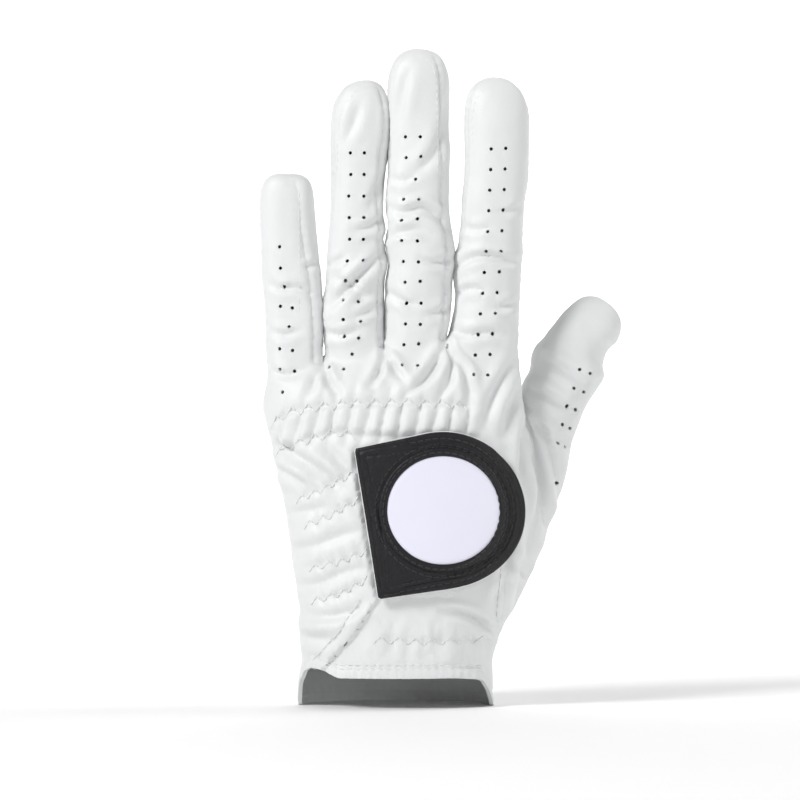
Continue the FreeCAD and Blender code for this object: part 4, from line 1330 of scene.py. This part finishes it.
def arch(across):
    """The rounded top of a band, from 0 at its edges to 1 in between."""
    return np.sqrt(np.clip(1 - (2 * across - 1) ** 4, 0, 1))


def label_ring():
    """The raised ring round the label."""
    inner, outer, low, high, edge = 15.9, 18.3, 3.35, 4.15, 0.5
    angles, across = np.linspace(0, 2 * math.pi, 140, endpoint=True), np.linspace(0, 1, 11)
    gx, gz = round_label((inner + (outer - inner) * across)[:, None], angles)
    top = (high - edge * (1 - arch(across)))[:, None]
    on_tab("tab_ring", gx, gz, low, top, "trim", "label_frame", closed=False)


def edge_band():
    """The raised welt round the tab's edge."""
    inset, wide = 0.5, 2.7
    angles, across = np.linspace(-2.02, 2.02, 170), np.linspace(0, 1, 9)
    reach = np.array([tab_reach(a) for a in angles])
    gx, gz = round_label(reach[None, :] - inset - wide * across[:, None], angles)
    top = (3.35 + 0.45 * arch(across) - 0.2 * bell(across - 0.5, 0.14))[:, None]
    on_tab("tab_welt", gx, gz, 3.0, top, "trim", "tab_trim", closed=False)


def surface_of_tab():
    """The faces of the tab that stitches lie on."""
    points, faces, count = [], [], 0
    for name in ("tab_leather_face", "tab_ring", "tab_welt"):
        thing = bpy.data.objects[name]
        points.append(vertex_array(thing))
        faces.append(triangle_array(thing) + count)
        count += len(points[-1])
    glove["tab_surface"] = BVHTree.FromPolygons(np.concatenate(points).tolist(),
                                                np.concatenate(faces).tolist())


class GLOVE_OT_stitches(bpy.types.Operator):
    """Sews the glove: zigzags over the elastic, hems and seams"""
    bl_idname = "glove.stitches"
    bl_label = "Stitches"

    def execute(self, context):
        rows = [("knuckles", [KNUCKLE_HIGH, KNUCKLE_LOW[:4]], 5.0, 2.9, 0.42, {"blend": KNUCKLE}),
                ("side", SIDE_ROWS, 4.0, 2.2, 0.42, {"body": "hand"}),
                ("wrist", [WRIST_ROW], 5.0, 2.2, 0.4, {"body": "hand"})]
        for name, lines, tooth, high, thick, binding in rows:
            sew(f"stitches_{name}", [zigzag(line, tooth, high) for line in lines], "thread", "elastic",
                thick, corners=True, **binding)
        xs = np.linspace(-22, 27, 120)
        low = cuff_level(np.stack([xs, np.full(len(xs), -18.0), np.zeros(len(xs))], 1))
        hems = [list(zip(xs, low + rise)) for rise in (2.7, 3.9)]
        hems.append([(value_on(SLIT, z) - 5.0, z + 0.6) for z in np.linspace(13.5, 32, 40)])
        sew("stitches_hem", hems, "thread", "hem_leather", 0.38, body="hand")
        seam = [(value_on(SEAM, z) - 1.9, z) for z in np.linspace(27, 48, 40)]
        sew("stitches_thumb_seam", [seam], "thread", "white_leather", 0.34, body="hand")
        for name, lines in FINGER_SEAMS.items():
            sew(f"stitches_{name}", lines, "thread", "white_leather", 0.34, 0.05,
                blend=finger_bend(name))
        return {"FINISHED"}


class GLOVE_OT_stage(bpy.types.Operator):
    """Makes the floor, the backdrop, the lights and the camera"""
    bl_idname = "glove.stage"
    bl_label = "Stage"

    def execute(self, context):
        deselect()
        bpy.ops.mesh.primitive_plane_add(size=6)
        floor = bpy.context.object
        floor.name = "floor"
        bpy.ops.object.mode_set(mode="EDIT")
        bpy.ops.mesh.select_all(action="DESELECT")
        bpy.ops.object.mode_set(mode="OBJECT")
        for edge in floor.data.edges:
            edge.select = all(floor.data.vertices[v].co.y > 2.9 for v in edge.vertices)
        bpy.ops.object.mode_set(mode="EDIT")
        bpy.ops.mesh.select_mode(type="EDGE")
        bpy.ops.mesh.extrude_region_move(TRANSFORM_OT_translate={"value": (0, 0, 4)})
        bpy.ops.object.mode_set(mode="OBJECT")
        bevel = floor.modifiers.new("sweep", "BEVEL")
        bevel.width = 1.2
        bevel.segments = 16
        bpy.ops.object.modifier_apply(modifier=bevel.name)
        bpy.ops.object.shade_smooth()
        paper = bpy.data.materials.new("paper")
        paper.use_nodes = True
        shader = paper.node_tree.nodes["Principled BSDF"]
        shader.inputs["Base Color"].default_value = (0.94, 0.94, 0.94, 1)
        shader.inputs["Roughness"].default_value = 0.9
        floor.data.materials.append(paper)
        world = bpy.data.worlds.new("studio")
        bpy.context.scene.world = world
        world.use_nodes = True
        sky = world.node_tree.nodes["Background"]
        sky.inputs["Color"].default_value = (1, 1, 1, 1)
        sky.inputs["Strength"].default_value = 0.33
        lights = [("key", (-1.0, -0.85, 1.1), 19, 0.5), ("fill", (1.2, -1.2, 0.2), 7, 0.8),
                  ("rim", (0.9, 0.3, 1.0), 4, 0.5), ("wall", (0, 1.0, 1.8), 70, 2.0)]
        for name, place, power, size in lights:
            target = Vector((0, 0, 0.1)) if name != "wall" else Vector((0, 3, 0.6))
            turn = (Vector(place) - target).to_track_quat("Z", "Y")
            bpy.ops.object.light_add(type="AREA", location=place, rotation=turn.to_euler())
            light = bpy.context.object
            light.name = name
            light.data.energy = power
            light.data.size = size
        context.scene.view_settings.view_transform = "Standard"
        eye = Vector((0, -1.3333, 0.0915))
        bpy.ops.object.camera_add(location=eye, rotation=(math.pi / 2, 0, 0))
        camera = bpy.context.object
        camera.data.lens = 200
        camera.data.sensor_width = 36
        camera.data.clip_start = 0.05
        camera.data.clip_end = 20
        context.scene.camera = camera
        return {"FINISHED"}


OPERATORS = (GLOVE_OT_form, GLOVE_OT_hand, GLOVE_OT_fingers, GLOVE_OT_thumb, GLOVE_OT_cuff, GLOVE_OT_tab,
             GLOVE_OT_stitches, GLOVE_OT_stage)


class GLOVE_PT_panel(bpy.types.Panel):
    """The glove's sizes, colours and steps"""
    bl_label = "Golf Glove"
    bl_idname = "GLOVE_PT_panel"
    bl_space_type = "VIEW_3D"
    bl_region_type = "UI"
    bl_category = "Golf Glove"

    def draw(self, context):
        sizes = context.scene.golf_glove
        for name in ("wall", "voxel", "leather_color", "tab_color", "label_color"):
            self.layout.prop(sizes, name)
        for operator in OPERATORS:
            self.layout.operator(operator.bl_idname)


def register():
    """Adds the operators, the panel and the sizes to Blender."""
    for item in (GloveSizes, *OPERATORS, GLOVE_PT_panel):
        bpy.utils.register_class(item)
    bpy.types.Scene.golf_glove = bpy.props.PointerProperty(type=GloveSizes)


def unregister():
    """Takes them out again."""
    del bpy.types.Scene.golf_glove
    for item in reversed((GloveSizes, *OPERATORS, GLOVE_PT_panel)):
        bpy.utils.unregister_class(item)


def main():
    """Builds the glove and its stage."""
    register()
    for step in ("form", "hand", "fingers", "thumb", "cuff", "tab", "stitches", "stage"):
        getattr(bpy.ops.glove, step)()


if __name__ == "__main__":
    main()
